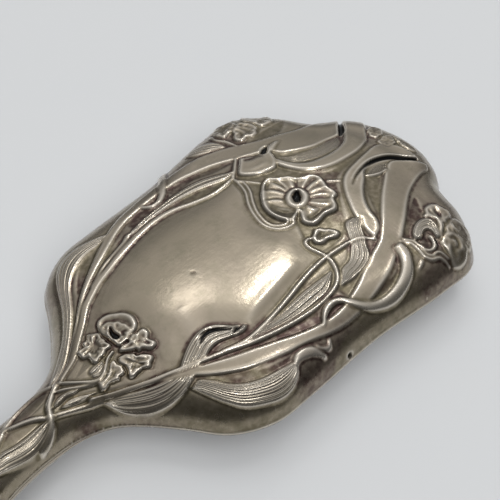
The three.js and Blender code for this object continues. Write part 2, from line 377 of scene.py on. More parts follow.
class Relief:
    """A height field over plan points, painted one stroke over another, with how tarnished each point is;
    what passes 1 is painted black shade.
    """

    SOFT = 0.28  # half width of a stroke's edge
    MARGIN = 1.5  # how far round a stroke it can change anything
    DITCH_DEPTH, DITCH_WIDTH = 0.16, 0.45  # it sets a stroke off from what is round it
    BEAD_INSET, BEAD_WIDTH = 0.45, 0.5
    OPEN = 2.0  # darkness given to a hole: what passes 1 is painted black, as painted shade

    def __init__(self, x, y):
        self.x, self.y = x.ravel(), y.ravel()
        self.shape = x.shape
        self.height = np.zeros(self.x.shape)
        self.tarnish_and_shade = np.zeros(self.x.shape)
        self.ribbed = np.zeros(self.x.shape)
        self.phase = np.zeros(self.x.shape)

    def near(self, points, margin):
        """Which plan points are close to a stroke, and their x and y."""
        low, high = points.min(0) - margin, points.max(0) + margin
        inside = (self.x > low[0]) & (self.x < high[0]) & (self.y > low[1]) & (self.y < high[1])
        at = np.nonzero(inside)[0]
        return at, self.x[at], self.y[at]

    def near_line(self, points, margin):
        """Which plan points are close to a line, how far from it, and how much of it lies before them."""
        line = spline(points)
        at, x, y = self.near(line, margin)
        distance, along, _ = distance_to_polyline(x, y, line)
        return at, distance, along / max(along.max(), 1e-6)

    def near_outline(self, outline, margin):
        """Which plan points are close to a closed outline, their x and y, and how far inside they are."""
        at, x, y = self.near(outline, margin)
        return at, x, y, distance_to_polyline(x, y, outline)[0] * inside_sign(x, y, outline)

    def lay(self, at, edge, profile, dark=0.0, phase=None):
        """Lays a stroke over what is there. edge is the distance inside the stroke's boundary."""
        cover = smoothstep(edge, -self.SOFT, self.SOFT)
        ditch = self.DITCH_DEPTH * bell(np.minimum(edge, 0), 0, self.DITCH_WIDTH) * (edge < 0)
        self.height[at] = (self.height[at] - ditch) * (1 - cover) + profile * cover
        self.tarnish_and_shade[at] = self.tarnish_and_shade[at] * (1 - cover) + dark * cover
        self.ribbed[at] *= 1 - cover
        if phase is not None:
            self.ribbed[at] += cover * smoothstep(edge, 0.1, 0.7)
            self.phase[at] = np.where(edge > -1, phase, self.phase[at])

    def stem(self, points, half_widths, lift=0.45, crown=0.2):
        """A rounded stem along a line, with half widths spread evenly along it."""
        at, distance, share = self.near_line(points, max(half_widths) + self.MARGIN)
        width = widths_along(share, half_widths)
        v = np.clip(distance / width, 0, 1)
        self.lay(at, width - distance, lift + crown * np.sqrt(1 - 0.96 * v * v) - 0.2 * crown)

    def band(self, left, right, lift=0.5, crown=0.0, bead=(0.0, 0.0), ribs=0, rib=0.1, dark=0.0,
             tilt=0.0):
        """A band or leaf between two edges. bead gives the height of the roll along each edge."""
        left, right = spline(left), spline(right)
        outline = np.vstack([left, right[::-1]])
        at, x, y = self.near(outline, self.MARGIN)
        to_left = distance_to_polyline(x, y, left)[0]
        to_right = distance_to_polyline(x, y, right)[0]
        edge = np.minimum(to_left, to_right) * inside_sign(x, y, outline)
        v = (to_left - to_right) / np.maximum(to_left + to_right, 1e-6)
        profile = lift + crown * (1 - v * v) + tilt * v
        for height, to_edge in zip(bead, (to_left, to_right)):
            profile = profile + height * bell(to_edge, self.BEAD_INSET, self.BEAD_WIDTH)
        phase = None
        if ribs:
            profile = profile - 0.5 * rib * (1 + np.cos(math.pi * ribs * (v + 1)))
            phase = ribs * (v + 1)
        self.lay(at, edge, profile, dark=dark, phase=phase)

    def petal(self, points, lift=0.6, dish=0.35, bead=0.3, dark=0.0, ruffle=0.0, lip=0.45):
        """A petal with a dished middle inside a rolled rim, which is highest at the lip.

        ruffle makes the rim wander and folds the middle.
        """
        outline = spline(points, closed=True)
        at, x, y, edge = self.near_outline(outline, self.MARGIN)
        middle = outline.mean(axis=0)
        turn = np.arctan2(y - middle[1], x - middle[0])
        wave = np.sin(5 * turn + middle[0]) + 0.7 * np.sin(9 * turn + middle[1])
        edge = edge + 0.22 * ruffle * wave
        profile = lift - dish * smoothstep(edge, lip, lip + 1.8) + bead * bell(edge, lip, lip)
        inner = bell(edge - 0.3 * wave, 1.5, 0.4)
        folds = np.sin(12 * turn + middle[1]) * smoothstep(edge, 0.4, 1.2)
        self.lay(at, edge, profile + ruffle * (0.22 * inner + 0.1 * folds), dark=dark)

    def crease(self, points, width, depth, dark=0.0):
        """Adds a groove, or a ridge where depth is negative, that fades at both ends."""
        at, distance, share = self.near_line(points, 3 * width)
        fade = np.sqrt(np.clip(4 * share * (1 - share), 0, 1))
        amount = fade * bell(distance, 0, width)
        self.height[at] -= depth * amount
        self.tarnish_and_shade[at] = np.maximum(self.tarnish_and_shade[at], dark * amount)

    def creases(self, lines, width, depth, dark=0.0):
        for points in lines:
            self.crease(points, width, depth, dark)

    def sink(self, points, depth, dark):
        """Lowers and darkens the ground inside a closed outline."""
        at, _, _, edge = self.near_outline(spline(points, closed=True), 1)
        cover = smoothstep(edge, -0.5, 0.5)
        self.height[at] -= depth * cover
        self.tarnish_and_shade[at] = np.maximum(self.tarnish_and_shade[at], dark * cover)

    def tear(self, points, half_widths, depth=0.9, lip=0.18):
        """A split worn through the silver, with slightly raised lips."""
        at, distance, share = self.near_line(points, max(half_widths) + 2)
        width = widths_along(share, half_widths)
        gap = smoothstep(width - distance, -0.15, 0.15)
        edge = bell(distance - width, 0.35, 0.3) * (width > 0.1)
        self.height[at] += lip * edge * (1 - gap) - depth * gap
        # Painted shade: the gap gets a darkness past 1, which is drawn black.
        self.tarnish_and_shade[at] = np.maximum(self.tarnish_and_shade[at] * (1 - gap), self.OPEN * gap)

    def grid(self, name):
        return getattr(self, name).reshape(self.shape)


def widths_along(share, half_widths):
    """Half widths spread evenly along a line, at these shares of its length."""
    return np.interp(share, np.linspace(0, 1, len(half_widths)), half_widths)


# The edge of the plain panel in the middle of the back.
PANEL = [
    (-50, 9), (-46, 12.8), (-40, 15.8), (-32, 18.2), (-24, 19.2), (-16, 18.4), (-10, 17), (-4, 16.2),
    (0.5, 15.6), (1.6, 13.5), (-1.2, 10.2), (-4.4, 6.8), (-6.3, 3), (-6.6, -0.5), (-5.6, -4),
    (-3.6, -6), (-3, -8.5), (-4.4, -11), (-5, -13.5), (-5.4, -16.4), (-8, -17), (-15, -17.6),
    (-25, -19), (-31, -18.6), (-33.5, -15.6), (-36.5, -12), (-40, -11), (-44, -11.4), (-48, -12.8),
    (-50, -10.5), (-47, -5), (-46, 0), (-47, 5),
]
GROUND_TARNISH = 0.3
# Sunk grounds are lowered and darkened: tarnished, and partly painted shade.
SUNK_DEPTH, SUNK_TARNISH_AND_SHADE = 0.25, 0.7


def distance_in_panel(x, y):
    """How far points are inside the edge of the plain panel; 0 outside it."""
    panel = spline(PANEL, closed=True)
    return distance_to_polyline(x, y, panel)[0] * inside_polygon(x, y, panel)


def paint_grounds(relief, depth):
    """The panel's swellings and dimple, stains along the roll, and sunk grounds between the ribbons, darkened
    as tarnished and partly as painted shade.
    """
    outside = 1 - smoothstep(distance_in_panel(relief.x, relief.y), 0, 0.8)
    relief.tarnish_and_shade += GROUND_TARNISH * outside * smoothstep(depth.ravel(), 5, 9)
    relief.crease([(-43, -15), (-41, -11), (-39.4, -7.4), (-38.2, -4)], 2.4, -0.22)
    relief.crease([(-34, -18.4), (-27, -16.3), (-19, -15.3), (-10, -14.2)], 1.3, -0.28)
    relief.crease([(-29.6, 1.2), (-29, 0.8), (-28.4, 0.4)], 0.5, 0.12, dark=0.5)
    relief.crease([(-74.5, -5.2), (-71, -7), (-67, -9.8), (-63.4, -13.6)], 2.2, 0, dark=1.0)
    relief.crease([(-48, -27.5), (-47, -31.5), (-44.5, -35), (-40, -37)], 1.9, 0, dark=0.9)
    relief.crease([(-12, -37), (-4, -38.5), (6, -39.5)], 1.6, 0, dark=0.6)
    grounds = [
        [(2.4, 16.5), (0, 11.5), (-3, 7), (-4.6, 2), (-3.6, -3), (0, -5.4), (-1.6, -9), (-3.4, -12),
         (-3, -16), (2, -17), (8, -15), (12, -11), (17, -6), (20.5, -3), (30, -1.2), (42, -0.6),
         (30, 0), (22, 0.6), (17, 5), (14.5, 12), (11, 12), (7.5, 14.5), (6, 17.5)],
        [(18.6, 15), (21, 12.4), (25, 10.6), (30, 9.2), (37, 8.8), (33, 6.4), (27, 6.2), (21, 8)],
        [(17, -18.5), (19.5, -14.5), (22.5, -11), (26, -8.8), (30, -9.8), (25, -13), (20, -16.4)],
        [(-25, 24), (-26, 26), (-19, 28), (-14, 28.4), (-11, 27), (-15, 25.4), (-20, 24.6)],
        [(-15, 21.6), (-10, 22.4), (-5, 21.2), (0, 19.3), (2, 18.6), (-3, 18.3), (-10, 19.2)],
        [(-10, 28), (-4, 28), (2, 26.2), (8.6, 22.8), (3, 23.6), (-3, 26), (-10, 26)],
        [(-49, 18), (-46, 21.8), (-42, 24.8), (-37, 25.4), (-41, 22.6), (-45, 19.8)],
        [(-46, 14.8), (-41, 17.8), (-34.5, 22.4), (-30.5, 23.2), (-31, 21.8), (-36, 19.6), (-41, 18)],
        [(-46, -19.5), (-42, -24), (-36, -28), (-28, -30.4), (-34, -30), (-41, -28.4), (-45, -24)],
        [(-18, -28.6), (-15.6, -27.6), (-12.4, -27.8), (-11, -29.4), (-15, -29.2)],
        [(-4, -33.1), (0, -32.6), (6, -32.2), (11, -29.8), (7, -32.6), (1, -34)],
        [(15.5, -28), (17.5, -31), (20, -34.2), (24, -31), (27, -25), (30, -21), (23, -23.6)],
        [(16, 26), (17, 33), (20, 26), (26, 26.5), (34, 26), (27, 22.5), (20, 24.6)],
        [(-33.5, -22.6), (-27.4, -23.8), (-20.8, -25.5), (-16.8, -27.3), (-20, -29.9), (-25.7, -28.1),
         (-32.4, -25.2)],
        [(-9, -26), (-2, -26.9), (3.9, -25.9), (8.5, -24), (3, -27.4), (-2.7, -29.6), (-8, -29.4)],
    ]
    for outline in grounds:
        relief.sink(outline, SUNK_DEPTH, SUNK_TARNISH_AND_SHADE)


def paint_upper_ribbons(relief):
    """The ribbons and leaves on the +Y side."""
    relief.band(  # broad leaf behind the stems
        [(-69.5, 3.6), (-66.9, 5.6), (-62.9, 8.6), (-59.3, 11.5), (-56, 15.2), (-53.3, 18.8), (-50.8, 23),
         (-48, 27), (-44.8, 29.7), (-41.3, 30.5), (-37.1, 29.9), (-33.5, 28.7), (-30.4, 27.3)],
        [(-69, 2.8), (-66.3, 3.6), (-63.4, 5.3), (-60.2, 8), (-56.7, 11.4), (-53.3, 15), (-51, 18),
         (-48.2, 21.5), (-44.9, 24), (-41, 25.7), (-38, 26.2), (-35, 26.2), (-30.4, 27.2)],
        lift=0.3, crown=0.16, bead=(0.04, 0.16), ribs=3, rib=0.09,
    )
    relief.band(  # long ribbon that widens over the shoulder and ends at the split
        [(-67.5, 2.7), (-63.8, 4.8), (-59.5, 8.2), (-55.3, 11.7), (-51.6, 15), (-47.6, 18.2),
         (-43.8, 20.7), (-39.7, 23.1), (-34.9, 25.9), (-30.3, 28.2), (-25, 30.2), (-20, 31.3),
         (-15, 32.2), (-10, 32.7), (-5, 32.8), (0, 32.6), (5, 31.9), (10, 30.2), (15, 27.4),
         (20, 24.1), (25, 22.3), (30, 20.6), (35, 19.4), (40, 19), (45, 19), (50, 19.6), (54, 20.5)],
        [(-67.2, 2.1), (-61.2, 5.5), (-57.1, 9), (-53.4, 12.3), (-49.9, 14.9), (-46.2, 17.3),
         (-42.3, 19.5), (-38.3, 21.5), (-34.1, 23.6), (-29.1, 26), (-24.7, 27.5), (-20, 28.3),
         (-15, 28.9), (-10, 29), (-5, 28.7), (0, 27.5), (5, 25.7), (10, 22.7), (14, 20.4),
         (18, 18), (20, 14.8), (22.5, 13.2), (25, 11.9), (27.5, 10.8), (30, 10.1), (35, 9.5),
         (38.3, 9.5), (40.8, 11.2), (43.3, 13.3), (45.8, 15.3), (48.3, 17), (51, 17.8), (54, 20.4)],
        lift=0.45, crown=0.05, bead=(0.03, 0.12),
    )
    relief.band(  # striated hollow inside the upper loop
        [(17.5, 14.7), (21.2, 12.2), (26.6, 10.7), (33.3, 10), (37.6, 9.2)],
        [(17.5, 14.7), (18.4, 10.4), (23.2, 7), (28.8, 5.7), (34, 6), (37.6, 9.2)],
        lift=-0.1, crown=0.1, ribs=4, rib=0.1, dark=0.5,
    )
    relief.stem([(-46, 16.9), (-40, 19.3), (-35, 20.7), (-31, 21.8), (-28.6, 22.9)], (0.3, 0.5, 0.7))
    relief.band(  # ridged leaf that runs to the knot
        [(-29.5, 22.6), (-24, 24.4), (-20, 25), (-15, 25.3), (-10, 25.4), (-5, 25), (-1.2, 23.9),
         (2.4, 21.8), (5, 20), (7, 19.6)],
        [(-29.5, 22.4), (-25, 22.4), (-20, 22.9), (-15, 23.1), (-10, 22.8), (-5, 21.7), (-2, 20.5),
         (0.6, 19.4), (3.5, 18.6), (7, 19.6)],
        lift=0.4, bead=(0.2, 0.4), ribs=2, rib=0.2,
    )
    relief.band(  # upper loop at the tip
        [(14.6, 13.6), (15.4, 9.5), (17.5, 5.4), (21.3, 2.4), (25, 1.1), (30, 0.5), (35, 0.5),
         (40, 1.7), (43.3, 3.8), (46.7, 6.5), (50, 9.7), (52.5, 13.2), (54.2, 17)],
        [(16.6, 15.6), (17.3, 11.5), (18.9, 8.4), (21.3, 6.6), (25, 5.5), (28.8, 5), (33, 5.4),
         (35.8, 6.2), (38.3, 7.8), (40.8, 9.7), (43.3, 11.8), (45.8, 13.8), (48.3, 15.3),
         (51, 15.9), (54.2, 18.4)],
        lift=0.5, crown=0.22, bead=(0.12, 0.1),
    )


def paint_knot(relief):
    """The knot where the stems meet, and the flap of its fold."""
    relief.band(
        [(10.8, 21.9), (7.6, 19.4), (5.4, 17.4), (6.4, 15.2), (8.4, 13.4), (10.6, 12.4), (13.5, 11.8),
         (15.6, 13.4), (17.4, 15.6), (18.4, 17.9)],
        [(10.8, 21.9), (12.6, 20.6), (14.8, 19.4), (16.6, 18.6), (18.4, 17.9)],
        lift=0.62, crown=0.24, bead=(0.16, 0.08),
    )
    relief.band([(16.4, 17.4), (18.6, 17.2), (21, 18), (24, 19.4)],
                [(16.4, 17.4), (18, 18.8), (20.4, 19.6), (24, 19.4)], lift=0.75, crown=0.2)
    # A darkness past 1 paints black shade into this fold.
    relief.crease([(10.6, 20.6), (12.4, 19.4), (14.4, 18.9), (15.8, 17.7)], 0.75, 0.5, dark=1.2)
    relief.crease([(8, 16.2), (11, 15.2), (14, 14.8)], 0.7, -0.12)


def paint_upper_stems(relief):
    """The stems that run over the ribbons on the +Y side, and a leaf of the corner's flower."""
    relief.stem([(-69.5, 1.6), (-66, 3), (-62, 4.6), (-58.2, 7.5), (-54.4, 10.4), (-50.7, 13.4),
                 (-47.1, 15.3), (-43.9, 16.7), (-40, 17.7), (-35.7, 19), (-30.7, 20.3), (-25.8, 21.3),
                 (-20.5, 21.8), (-15, 21), (-10, 18.9), (-5, 17.4), (0, 17.3), (3.2, 17.9), (5.4, 19),
                 (7.7, 20.8), (10.4, 22.9)],
                (0.55, 0.8, 0.95, 0.9, 0.8, 0.5, 0.4), lift=0.5, crown=0.14)
    relief.stem([(-0.3, 40.2), (-3, 37.5), (-5, 35.5), (-7.5, 32.8), (-10, 30.2), (-12.4, 27.9),
                 (-15, 26.6), (-17.3, 26.9), (-18.6, 28.2)],
                (1.1, 1.1, 1.05, 1.0, 0.8, 0.45), lift=0.6, crown=0.2)
    relief.stem([(4.3, 35.8), (6, 33.8), (9, 31.2)], (0.25, 0.6, 0.3), lift=0.5)
    relief.band([(4.3, 35.8), (7.5, 36.8), (11.5, 35.4), (13.6, 32.4), (13.2, 29.4)],
                [(4.3, 35.8), (6.4, 33.8), (9, 31.4), (11, 30.4), (13.2, 29.4)],
                lift=0.45, crown=0.15, ribs=2)


def paint_lower_leaves(relief):
    """The striated leaves at the neck on the -Y side."""
    relief.band(  # striated leaf that sweeps up from the neck and curls over the panel's edge
        [(-64.5, -7.4), (-61.3, -8.9), (-58.7, -10.7), (-56.2, -12.4), (-53.6, -13.8), (-51, -14.5),
         (-48.8, -14.2), (-46.8, -13.2), (-44.6, -12.2), (-41.7, -11.4), (-39.3, -11.4), (-36.6, -12.8),
         (-34.4, -15.2), (-31.8, -18)],
        [(-64.5, -7.8), (-63, -10.8), (-61, -13.6), (-58.5, -16.3), (-55.6, -18.3), (-52.7, -19.1),
         (-50, -18.9), (-48, -18), (-46, -17.4), (-43.7, -17.1), (-41.5, -16.4), (-39.1, -16.5),
         (-36.2, -17.6), (-33.4, -18.5), (-31.8, -18)],
        lift=0.5, crown=0.5, bead=(0.1, 0.2), ribs=4, rib=0.24,
    )
    relief.band(  # large striated leaf
        [(-50.7, -19.4), (-48.6, -19.2), (-46.6, -21.6), (-45, -24.6), (-42.6, -27), (-39.4, -28.8),
         (-35.1, -30), (-30.4, -31)],
        [(-50.7, -19.6), (-49.6, -23.4), (-48.2, -27), (-46.2, -30), (-42.9, -32.4), (-39.3, -34),
         (-36, -34.3), (-33, -33.5), (-30.4, -31.6)],
        lift=0.45, crown=0.6, bead=(0.0, 0.1), ribs=5, rib=0.2,
    )
    relief.stem([(-31.4, -31.6), (-30.2, -31), (-28.5, -31), (-26.7, -31.6), (-25.4, -32.6), (-24.6, -34)],
                (0.5, 1.0, 1.15, 1.1, 0.6), lift=0.5, crown=0.3)


def paint_lower_ribbons(relief):
    """The ribbon along the -Y side, the lower loop at the tip, and the leaves beside them."""
    relief.band(  # long ribbon along the side and into the lower loop
        [(-57, -11.5), (-53, -13.7), (-48.5, -15.7), (-45, -17.8), (-40, -20.7), (-35, -22.9), (-30, -25),
         (-25, -27.2), (-20, -28.8), (-15, -29.6), (-10, -29.2), (-4, -27.8), (0, -26.4),
         (5, -25), (9.6, -23.8), (13.6, -21.6), (18.2, -18.4), (24, -14.6), (30.4, -11), (34.6, -8.6),
         (38, -8.2), (41, -10.2), (44, -13), (45.4, -14.6)],
        [(-57, -11.6), (-53, -14.5), (-48.5, -18.1), (-45, -21.5), (-40, -25), (-35, -27.2), (-30, -28.9),
         (-25, -30.2), (-20, -31.9), (-15, -32.9), (-10, -33.1), (-5, -32.8), (0, -32.1),
         (4.4, -31.2), (9, -29.6), (13.4, -27.9), (17.4, -25.9), (21, -24), (25.8, -21.3),
         (31.5, -18.6), (36.6, -17.1), (40, -16.5), (44, -16), (45.4, -14.6)],
        lift=0.5, crown=-0.03, bead=(0.04, 0.1), dark=0.12, tilt=-0.12,
    )
    relief.band(  # folded leaf under the split
        [(27.2, -7.4), (30, -6.4), (33.5, -6.3), (36.4, -7.8)],
        [(27.2, -7.4), (29, -8.8), (31.5, -9.5), (34, -9.3), (36.4, -7.8)],
        lift=0.05, ribs=4, rib=0.12, dark=0.35,
    )
    relief.stem([(27.2, -7.4), (29, -8.6), (31.5, -9.3), (33.8, -9.2)], (0.25, 0.4, 0.2), lift=0.7)
    relief.band(  # lower loop at the tip
        [(9.5, -22.6), (10.4, -18.8), (12.2, -14.7), (15, -10.7), (18, -7.2), (21.3, -4.4),
         (25, -2.9), (30, -2.1), (35, -1.5), (40, -1.1), (43.3, -2), (45.4, -5), (45.9, -9),
         (45, -12.4)],
        [(9.9, -22.8), (13, -21.8), (15.2, -19.6), (16.2, -17), (18.2, -13.8), (21.8, -10.5),
         (26, -7.8), (28.8, -5.8), (32.5, -5), (35.8, -5.6), (38.8, -6.9), (40.8, -8.5),
         (42.5, -10.4), (45, -12.4)],
        lift=0.58, crown=0.05, bead=(0.05, 0.14),
    )
    relief.band(  # striated leaf that curves out of the lower loop
        [(11.4, -14.8), (8.6, -14.6), (6.2, -17), (4, -19.6), (2, -21), (-0.4, -22.4), (-3.7, -22.8),
         (-7.4, -25.2)],
        [(12.4, -16.2), (10.2, -18.6), (8.2, -21), (6.3, -22.9), (5.1, -24.6), (3.4, -25.7), (0.1, -26.4),
         (-3.8, -26.4), (-7.4, -25.7)],
        lift=0.4, crown=0.4, bead=(0.1, 0.1), ribs=4, rib=0.42,
    )
    relief.band(  # striated leaf between the two thin stems
        [(-37.4, -20.4), (-31.9, -20.3), (-26.2, -20.8), (-20.7, -20.7), (-15.5, -20.6), (-10.7, -20.9),
         (-6, -21.4)],
        [(-37.4, -20.8), (-34.2, -21.2), (-29.4, -22.4), (-25.1, -23.6), (-21.1, -24.4), (-15.9, -24.8),
         (-10.7, -24.6), (-6, -21.6)],
        lift=0.35, crown=0.42, ribs=3, rib=0.42,
    )


def paint_lower_stems(relief):
    """The thin stems beside the panel, and the curl that crosses the ribbon."""
    relief.stem([(-66, -5.6), (-63.5, -7.1), (-60, -9.2), (-55, -12.1), (-50, -14.4), (-45, -16.8),
                 (-40, -18.9), (-35, -21.2), (-30, -22.9), (-25, -24.2), (-20, -25.1),
                 (-15, -25.5), (-10, -25.1), (-7, -24.1), (-5, -22.3), (-3.7, -20), (-3.3, -18.1),
                 (-3.7, -15.6), (-4.1, -13.4), (-3.7, -12), (-2.4, -11.4), (-1.2, -12)],
                (0.6, 0.6, 0.55, 0.5, 0.45, 0.45, 0.4), lift=0.65)
    relief.stem([(-40, -18.6), (-35, -20.3), (-30, -20.5), (-25, -20.2), (-20, -19.6), (-15, -18.8),
                 (-10, -18.2), (-5, -18), (0, -18.4), (5, -19.3), (7.7, -20.6), (9.6, -23)],
                (0.4, 0.5, 0.5, 0.45, 0.4), lift=0.6)
    relief.band(  # broad curl that crosses over the ribbon and closes the lower loop
        [(-19.6, -29.6), (-17.6, -27.7), (-15.4, -26.5), (-12.6, -26.4), (-10.4, -27.6), (-9.1, -29.6),
         (-7.4, -31.8), (-4.4, -33.6), (-0.7, -34.2), (3.2, -33.8), (6.4, -32.6), (8.6, -30.8),
         (10.6, -27.6)],
        [(-19.6, -29.9), (-17.4, -29), (-15, -28.2), (-12.6, -28.2), (-11.2, -29.6), (-10.2, -31.6),
         (-8.2, -34), (-4.9, -35.7), (-0.8, -36.7), (3.2, -36.6), (7.2, -35.5), (10.4, -33.3),
         (12.8, -30.5), (13.4, -27.8)],
        lift=0.6, crown=0.5, bead=(0.0, 0.05),
    )
    relief.stem([(-24.4, -31.8), (-23.6, -33), (-22.2, -33.6), (-20.8, -32.6)], (0.3, 0.6, 0.3), lift=0.3)


CROSSING_X = -86.0  # where the stems of the twist cross on the neck
CROSSING_GAP = 27.0  # from one crossing to the next
CLOSE_END_X, CLOSE_LENGTH = -172.0, 12.0  # the stems draw together at the end of the handle


def paint_twist(relief, ends, sway):
    """Two stems that cross again and again along the handle."""
    x = np.linspace(*ends, 21)
    sway = sway * np.clip((x - CLOSE_END_X) / CLOSE_LENGTH, 0, 1)
    for turn, lift in ((0, 0.3), (math.pi, 0.5)):
        y = sway * np.sin((x - CROSSING_X) * math.pi / CROSSING_GAP + turn)
        relief.stem(np.column_stack([x, y]).tolist(), (0.4, 0.8, 0.8, 0.7, 0.6), lift=lift)


def paint_handle(relief):
    """The twist that runs on down the handle, with a leaf in each of its three loops."""
    paint_twist(relief, (-168, -86), 4.2)
    for loop, side in ((2.5, -1), (1.5, 1), (0.5, -1)):
        middle = CROSSING_X - loop * CROSSING_GAP
        edge = [(-9, 0), (-4, 2.2), (3, 2.2), (9, 0)]
        left, right = ([(middle + x, way * y) for x, y in edge] for way in (1, -1))
        relief.band(left, right, lift=0.15, crown=0.25, ribs=4, rib=0.18)
        relief.stem([(middle - 6, side * 5), (middle, side * 7.4), (middle + 8, side * 7)],
                    (0.3, 0.9, 0.3), lift=0.3)


def paint_neck(relief):
    """The crossing stems of the neck."""
    relief.band([(-91, -2.6), (-86.2, -1.7), (-84, -2), (-81.1, -2.2), (-78, -2.2), (-74.4, -2.6)],
                [(-91, -4.4), (-88.3, -5), (-85.4, -5.5), (-82, -5.8), (-79, -5.5), (-76.6, -4.6),
                 (-74.4, -3)],
                lift=0.35, crown=0.4, bead=(0.0, 0.15), ribs=3, rib=0.32)
    relief.band([(-85.2, -1.2), (-82.5, 0.8), (-80.9, 0.4), (-77.8, -1), (-76.1, -1.9)],
                [(-85.2, -1.2), (-84, -1.9), (-81.7, -2.1), (-78.6, -2.1), (-76.1, -1.9)],
                lift=-0.15, dark=0.6)
    relief.band([(-80.3, 2.2), (-77.5, 3.3), (-74.6, 3.8), (-71.9, 3.6), (-70.1, 2.9)],
                [(-80.3, 2.2), (-78.6, 1), (-75.2, 0.9), (-72.2, 1.5), (-70.1, 2.9)],
                lift=-0.1, dark=0.5)
    relief.stem([(-88, 2.6), (-84.5, 2.6), (-82.8, 2.2), (-81, 1.2), (-78.4, 0.1), (-75.9, -1.4),
                 (-74.6, -2.6), (-73.4, -3), (-70.6, -4.2), (-67.8, -5.5), (-64.5, -7.1)],
                (0.4, 0.5, 0.55, 0.5, 0.55))
    relief.stem([(-90, -1), (-86.6, -0.4), (-84.2, 0.9), (-81.6, 2.6), (-78.4, 3.9), (-75, 4.4),
                 (-71.6, 4), (-69, 2.6)], (0.4, 0.5, 0.5, 0.5))
    relief.band(  # feathered leaves between the stems
        [(-73, -1.6), (-71.4, -0.6), (-69.5, -0.5), (-67.8, -1), (-66, -2.4)],
        [(-73, -1.6), (-71, -1.9), (-69.4, -1.8), (-67.8, -2.3), (-66, -2.4)],
        lift=0.4, crown=0.25, ribs=1, rib=0.2,
    )
    relief.band([(-71.6, -2.6), (-69.6, -2.3), (-67.4, -3), (-64.6, -5)],
                [(-71.6, -2.6), (-70.2, -3.6), (-67.6, -4.5), (-64.6, -5)],
                lift=0.4, crown=0.3, ribs=1, rib=0.24)
    relief.stem([(-70, 1), (-67.4, -0.8), (-64.5, -3), (-61.9, -4.3), (-59.6, -3.8)], (0.35, 0.4, 0.3),
                lift=0.5)
    relief.stem([(-68.6, 2.4), (-70, 1.5), (-71.6, 0.4), (-73.3, -1), (-74.3, -2.6), (-75.4, -4),
                 (-77.4, -5.2), (-80, -5.8)], (0.5, 0.6, 0.7, 0.7, 0.5), lift=0.6, crown=0.3)


def paint_large_flower(relief):
    """The open flower beside the panel: one ruffled corolla, its folds, its rolled lips and its eye."""
    relief.petal([
        (-0.6, 4.2), (0.8, 5.8), (2.2, 7.2), (4.3, 8.8), (6.7, 10.2), (8.7, 10.4), (9.9, 8.9),
        (11.5, 7.6), (12.7, 6.7), (13.3, 5.2), (14.5, 4), (15.8, 3.6), (17.2, 2.7), (17.9, 0.5),
        (17, -1.7), (16, -3.6), (16, -5.5), (15.2, -7), (13.6, -7.3), (12, -9.4), (10.4, -10.3),
        (8.6, -9.9), (7, -9.5), (4.9, -9.8), (2.8, -9.7), (1.7, -8.5), (1.4, -6.9), (2.5, -5.4),
        (3.7, -4), (2, -4.6), (0.4, -5.2), (-0.8, -4.3), (-1.7, -2.4), (-2, 0), (-1.5, 2.3),
    ], lift=0.85, dish=0.4, bead=0.28)
    # The eye's darkness past 1 is drawn black, as painted shade.
    relief.petal([(1.2, 2.6), (2, 0.4), (3.2, -1.6), (3.4, -3.4), (1.6, -3.9), (0.2, -3.6), (-0.6, -2),
                  (-0.8, 0.2), (-0.2, 2)], lift=0.4, dish=0.6, bead=0.0, dark=1.35)
    relief.crease([(-1.2, 2.4), (-1.4, -0.4), (-0.6, -3.4), (0.8, -4.5), (3, -4)], 0.55, -0.35)
    relief.crease([(2.2, -8.8), (5, -9), (7.6, -8.8), (10.2, -9.4), (11.8, -8.6)], 0.5, -0.3)
    # These two folds get a darkness past 1, drawn black as painted shade.
    relief.crease([(3.2, -7.3), (6, -7.7), (8.9, -7.7)], 0.75, 0.6, dark=1.4)
    relief.crease([(7, 9.3), (5.6, 8.4), (4.2, 7.2)], 0.6, 0.6, dark=1.5)
    relief.creases((
        [(7.6, 2.9), (7.8, 5.6), (7.5, 8.6)], [(8.2, 3.1), (9.2, 6.1), (9.4, 8.5)],
        [(9.7, 3), (11.1, 4.9), (11.9, 6.5)], [(6.3, 2.4), (5.8, 4.9), (4.3, 7.2)],
        [(11, 1), (13.6, 2), (16.4, 2.4)], [(11.1, -0.2), (14.5, 0), (17.1, -0.3)],
        [(10.4, -1.3), (13.8, -2.1), (15.8, -3.6)], [(9.8, -2.3), (12.4, -3.8), (14.8, -6)],
        [(8.2, -3.6), (9.5, -6), (11.4, -7.8)], [(6.6, -4), (6.4, -5.6), (7, -7)],
        [(1.3, 4.7), (2.6, 3.4), (4.2, 1.4)],
    ), 0.42, -0.3)
    relief.creases((
        [(7.9, 3.4), (8.5, 5.8), (8.4, 8.4)], [(10.4, 2.4), (12.3, 3.9), (13.6, 4.6)],
        [(7, 3), (6.6, 5), (5.6, 7.4)], [(11.2, 0.4), (14, 1), (17, 1)],
        [(9.2, -2.5), (11.7, -4.8), (13.9, -7.5)],
        [(5, 1.3), (3.4, 3.9), (0.2, 5.4)], [(5.4, -3.4), (4.2, -4.4), (3, -5.6)],
        [(7.4, -3.8), (8, -6), (9.6, -8)],
    ), 0.35, 0.3, dark=0.75)
    ring = [(5.4, 1.4), (7.2, 2.3), (8.9, 2.3), (10.2, 1.5), (10.6, 0.2), (10, -1.5), (8.6, -2.6),
            (6.7, -3.2), (5.2, -2.9), (4.3, -1.9), (4.3, -0.4), (5.4, 1.4)]
    relief.stem(ring, (0.42, 0.3, 0.35, 0.6, 0.45), lift=0.85, crown=0.3)
    relief.petal(ring[:-1], lift=0.75, dish=0.45, bead=0.4)
    relief.tear([(6.8, -0.9), (7.9, 0.2), (9, 1)], (0.7, 1.1, 0.6), depth=1.0)


